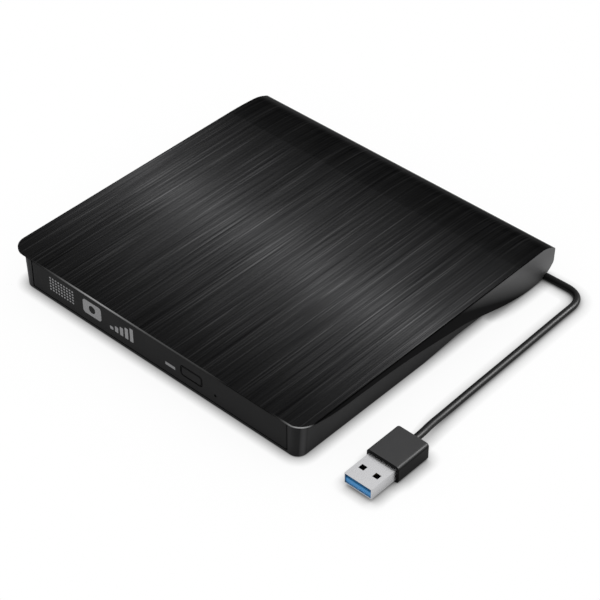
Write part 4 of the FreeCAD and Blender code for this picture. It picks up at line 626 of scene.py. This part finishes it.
def button_gap_shadow():
    """Painted shadow: a dark ring laid in the gap round the button."""
    shape = bmesh.new()
    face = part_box("bezel")[0][1]
    x, z = BUTTON_MIDDLE
    outlines = []
    for grown, corner in (GAP_OUTSIDE, GAP_INSIDE):
        wide, tall = [half + grown for half in BUTTON_HALF]
        outlines.append(rounded_corners(x - wide, x + wide, z - tall, z + tall, corner))
    add_slab(shape, outlines[0], face - 0.015 * MM, face + 0.02 * MM, outlines[1])
    # Black ring of painted shadow, with no gloss
    shadow_black = plastic("painted_gap_shadow", (0.0006, 0.0006, 0.0006), 0.8, 0.0, 4000.0, 0.1, 0.0)
    shadow_ring = new_object("button_gap_shadow", mesh_of(shape, "button_gap_shadow"), shadow_black)
    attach(shadow_ring, "tray")


def plug_insert(material):
    """Blue tongue of the plug with its root, edges slightly rounded."""
    low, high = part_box("plug_tongue")
    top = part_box("plug_contacts")[0][2]
    root = high[1] - TONGUE_ROOT
    side_view = [
        (low[1], low[2]), (high[1], low[2]), (high[1], high[2]),
        (root, high[2]), (root, top), (low[1], top),
    ]
    shape = bmesh.new()
    skin(shape, [[shape.verts.new((x, y, z)) for y, z in side_view] for x in (low[0], high[0])])
    bmesh.ops.bevel(
        shape, geom=shape.edges[:], offset=TONGUE_EDGE, segments=2, profile=0.5, affect="EDGES",
    )
    insert = new_object("plug_insert", mesh_of(shape, "plug_insert"), material)
    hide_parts("plug_tongue")
    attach(insert, "enclosure")
    return insert


def coil_spring(material):
    """Eject spring as wound wire between the pusher's collar and the guide's end."""
    low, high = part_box("eject_spring")
    x, z = (low[0] + high[0]) / 2, (low[2] + high[2]) / 2
    radius = (high[0] - low[0]) / 2 - SPRING_WIRE
    start = low[1] + SPRING_WIRE
    length = high[1] - low[1] - 2 * SPRING_WIRE
    steps = 16
    total = int(SPRING_TURNS * steps)
    shape = bmesh.new()
    rings = []
    for k in range(total + 1):
        angle = math.tau * k / steps
        outward = Vector((math.cos(angle), 0.0, math.sin(angle)))
        ahead = Vector((-math.sin(angle), 0.0, math.cos(angle)))
        side = ahead.cross(outward)
        centre = Vector((x, start + length * k / total, z)) + radius * outward
        rings.append([
            shape.verts.new(centre + SPRING_WIRE * (across * outward + up * side))
            for across, up in circle_corners(0.0, 0.0, 1.0, 8)
        ])
    skin(shape, rings)
    mesh = mesh_of(shape, "coil_spring")
    mesh.shade_smooth()
    spring = new_object("coil_spring", mesh, material)
    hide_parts("eject_spring")
    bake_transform(spring)


def strip_mesh(name, path, x0, x1, thickness):
    """Flat strip of one thickness along (y, z) points."""
    shape = bmesh.new()
    sections = []
    for k, (y, z) in enumerate(path):
        before, after = path[max(k - 1, 0)], path[min(k + 1, len(path) - 1)]
        along = Vector((0.0, after[0] - before[0], after[1] - before[1])).normalized()
        lift = along.cross(Vector((1.0, 0.0, 0.0))) * (thickness / 2)
        over, under = Vector((0.0, y, z)) + lift, Vector((0.0, y, z)) - lift
        sections.append([
            shape.verts.new(corner + Vector((x, 0.0, 0.0)))
            for corner, x in ((over, x0), (under, x0), (under, x1), (over, x1))
        ])
    skin(shape, sections)
    return mesh_of(shape, name)


def ribbon():
    """Ribbon from the main board: it lies on the pan, folds over and follows the tray."""
    low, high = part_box("flex_cable")
    film = ribbon_film()
    x0, x1 = low[0], high[0]
    floor_z = low[2] + RIBBON_SHEET / 2
    entry_z = high[2] - RIBBON_SHEET / 2
    rise_y = high[1] - 0.9 * MM
    corner = 0.4 * MM
    fold_y = low[1] + 2 * RIBBON_FOLD
    fixed = [
        (high[1], entry_z), (rise_y + corner, entry_z), (rise_y, entry_z - corner),
        (rise_y, floor_z + corner), (rise_y - corner, floor_z),
    ]
    run = rise_y - corner - low[1]
    fixed += [(rise_y - corner - run * k / 8, floor_z) for k in range(1, 8)]
    fixed += [
        (fold_y - RIBBON_FOLD * math.sin(math.pi * k / 6),
         floor_z + RIBBON_FOLD * (1 - math.cos(math.pi * k / 6)))
        for k in range(7)
    ]
    lying_mesh = strip_mesh("ribbon_lying", fixed, x0, x1, RIBBON_SHEET)
    lying = new_object("ribbon_lying", lying_mesh, film)
    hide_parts("flex_cable")
    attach(lying, "enclosure")
    start_y, start_z = fixed[-1]
    end_y = high[1] - 8.2 * MM
    end_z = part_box("tray")[0][2] - 0.08 * MM
    steps = 40
    moving = [
        (start_y + (end_y - start_y) * k / steps, start_z + (end_z - start_z) * k / steps)
        for k in range(steps + 1)
    ]
    pulled_mesh = strip_mesh("ribbon_pulled", moving, x0, x1, RIBBON_SHEET)
    pulled = new_object("ribbon_pulled", pulled_mesh, film)
    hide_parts("flex_cable")
    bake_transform(pulled)


def screw_solid(x, y, face, length):
    """Screw with its domed head looking down at the face's height, without its recess."""
    profile = (
        (0.0, 0.0), (SCREW_RADIUS * 0.86, 0.0), (SCREW_RADIUS * 0.96, SCREW_HEAD * 0.14),
        (SCREW_RADIUS, SCREW_HEAD * 0.36), (SCREW_RADIUS, SCREW_HEAD),
        (SCREW_SHANK, SCREW_HEAD), (SCREW_SHANK, length - SCREW_SHANK * 0.5),
        (SCREW_SHANK * 0.5, length), (0.0, length),
    )
    shape = bmesh.new()
    skin(shape, [
        [
            shape.verts.new((cx, cy, face + height))
            for cx, cy in circle_corners(x, y, reach, 32 if reach else 1)
        ]
        for reach, height in profile
    ], capped=False)
    return mesh_of(shape, "screw_solid")


def cross_cutter(x, y, face):
    """Tapered cross that reaches from below the screw's face up into its head."""
    arm, width, depth = SCREW_RADIUS * 0.62, SCREW_RADIUS * 0.16, SCREW_RADIUS * 0.42
    corners = []
    for quarter in range(4):
        angle = math.radians(90.0 * quarter + CROSS_TURN)
        cosine, sine = math.cos(angle), math.sin(angle)
        for along, across in ((width, -width), (arm, -width), (arm, width)):
            corners.append((along * cosine - across * sine, along * sine + across * cosine))
    shape = bmesh.new()
    skin(shape, [
        [shape.verts.new((x + size * cx, y + size * cy, z)) for cx, cy in corners]
        for size, z in ((1.0, face - 0.1 * MM), (0.6, face + depth))
    ])
    return mesh_of(shape, "cross_cutter")


def cut_mesh(solid, tool):
    """The first mesh with the second one cut away."""
    scene = bpy.context.scene.collection
    pair = [bpy.data.objects.new(mesh.name, mesh) for mesh in (solid, tool)]
    for made in pair:
        scene.objects.link(made)
    cut = pair[0].modifiers.new("cross", "BOOLEAN")
    cut.operation = "DIFFERENCE"
    cut.solver = "EXACT"
    cut.object = pair[1]
    bpy.context.view_layer.update()
    seen = pair[0].evaluated_get(bpy.context.evaluated_depsgraph_get())
    result = bpy.data.meshes.new_from_object(seen)
    for made in pair:
        bpy.data.objects.remove(made)
    return result


def case_screws(material):
    """The case's four screws, with their cross recesses."""
    low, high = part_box("case_screws")
    joined = bmesh.new()
    for x in (low[0] + SCREW_RADIUS, high[0] - SCREW_RADIUS):
        for y in (low[1] + SCREW_RADIUS, high[1] - SCREW_RADIUS):
            solid = screw_solid(x, y, low[2], high[2] - low[2])
            joined.from_mesh(cut_mesh(solid, cross_cutter(x, y, low[2])))
    screws = new_object("cross_screws", mesh_of(joined, "cross_screws"), material)
    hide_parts("case_screws")
    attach(screws, "enclosure")


# Studio
def seen_directly(tree):
    """Is 1 for a camera, glossy or transmission ray, and 0 for light that a surface scatters."""
    path = tree.nodes.new("ShaderNodeLightPath")
    total = path.outputs["Is Camera Ray"]
    for name in ("Is Glossy Ray", "Is Transmission Ray"):
        either = tree.nodes.new("ShaderNodeMath")
        either.operation = "MAXIMUM"
        link(total, either.inputs[0])
        link(path.outputs[name], either.inputs[1])
        total = either.outputs[0]
    return total


def shadow(material, distance, power):
    """Soft shadow of what stands within this distance, from 1 in the open down to 0."""
    occlusion = add(material, "ShaderNodeAmbientOcclusion", Distance=distance)
    occlusion.samples = 16
    return combine(material, "POWER", occlusion.outputs["AO"], power)


def table():
    """White table: seen as white with the object's shadow, and a plain surface for its light."""
    material = bpy.data.materials.new("white_table")
    material.use_nodes = True
    tree = material.node_tree
    tree.nodes.clear()
    surface = add(material, "ShaderNodeBsdfDiffuse", Color=(0.9, 0.9, 0.9, 1.0))
    white = add(material, "ShaderNodeEmission")
    shadows = [shadow(material, *soft) for soft in (CONTACT_SHADOW, WIDE_SHADOW)]
    link(combine(material, "MULTIPLY", *shadows), white.inputs["Strength"])
    either = add(material, "ShaderNodeMixShader")
    link(seen_directly(tree), either.inputs["Fac"])
    link(surface.outputs[0], either.inputs[1])
    link(white.outputs[0], either.inputs[2])
    output = add(material, "ShaderNodeOutputMaterial")
    link(either.outputs[0], output.inputs["Surface"])
    corners = [(x, y, 0) for x, y in ((-1, -1), (1, -1), (1, 1), (-1, 1))]
    mesh = bpy.data.meshes.new("table")
    mesh.from_pydata([[TABLE_HALF * c for c in corner] for corner in corners], [], [range(4)])
    plane = new_object("table", mesh, material)


def area_light(name, place, target, size, power, scattered=True, mirrored=True):
    """Rectangular lamp with its long side along X, for scattering or mirroring surfaces."""
    data = bpy.data.lights.new(name, "AREA")
    data.shape = "RECTANGLE"
    data.size = size[0]
    data.size_y = size[1]
    data.energy = power
    light = bpy.data.objects.new(name, data)
    place = Vector(place)
    away = place - Vector(target)
    away.x = 0.0
    away.normalize()
    along = Vector((1.0, 0.0, 0.0))
    turn = Matrix((along, away.cross(along), away)).transposed().to_4x4()
    light.matrix_world = Matrix.Translation(place) @ turn
    light.visible_diffuse = scattered
    light.visible_glossy = mirrored
    bpy.context.scene.collection.objects.link(light)
    return light


def reflected_lamp(name, target, offset, size, power, lit):
    """Lamp that shows only in the reflections of these objects."""
    light = area_light(name, target + offset, target, size, power, scattered=False)
    group = bpy.data.collections.new(name + "_lit")
    for piece in lit:
        group.objects.link(piece)
    light.light_linking.receiver_collection = group


def world():
    """White surroundings, seen at full strength by the camera and by reflections."""
    sky = bpy.data.worlds.new("studio")
    bpy.context.scene.world = sky
    sky.use_nodes = True
    tree = sky.node_tree
    background = tree.nodes["Background"]
    background.inputs["Color"].default_value = (1, 1, 1, 1)
    strength = tree.nodes.new("ShaderNodeMapRange")
    strength.inputs["To Min"].default_value = WORLD_SCATTERED
    strength.inputs["To Max"].default_value = WORLD_SEEN
    link(seen_directly(tree), strength.inputs["Value"])
    link(strength.outputs["Result"], background.inputs["Strength"])


def studio():
    world()
    table()
    to_mirror = Vector((-CAMERA_BACK.x, -CAMERA_BACK.y, CAMERA_BACK.z))
    for name, distance, reach, size, power in BAND_LAMPS:
        target = Vector((0.0, back(distance), TOP))
        reflected_lamp(name, target, reach * to_mirror, size, power, [nodes["top_cover"]])
    area_light(
        "overhead", OVERHEAD_PLACE, (0, 0, 0), OVERHEAD_SIZE, OVERHEAD_POWER, mirrored=False,
    )


def camera():
    data = bpy.data.cameras.new("camera")
    data.lens = CAMERA_LENS
    data.sensor_width = 36.0
    data.clip_start = 0.01
    data.clip_end = 20.0
    up = CAMERA_BACK.cross(CAMERA_RIGHT)
    turn = Matrix((CAMERA_RIGHT, up, CAMERA_BACK)).transposed().to_4x4()
    eye = bpy.data.objects.new("camera", data)
    eye.matrix_world = Matrix.Translation(CAMERA_PLACE) @ turn
    bpy.context.scene.collection.objects.link(eye)
    bpy.context.scene.camera = eye


bpy.context.scene.view_settings.view_transform = "Standard"
camera()
studio()
materials = dress_nodes()
insert = plug_insert(materials["blue"])
cord = lead(materials["sheath"])
printed_marks()
button_gap_shadow()
coil_spring(materials["wire"])
ribbon()
case_screws(materials["screw"])
reflected_lamp(
    "lead_lamp", LEAD_LAMP_TARGET, LEAD_LAMP_OFFSET, LEAD_LAMP_SIZE, LEAD_LAMP_POWER,
    [cord, nodes["plug_housing"], nodes["cable_grommet"]],
)
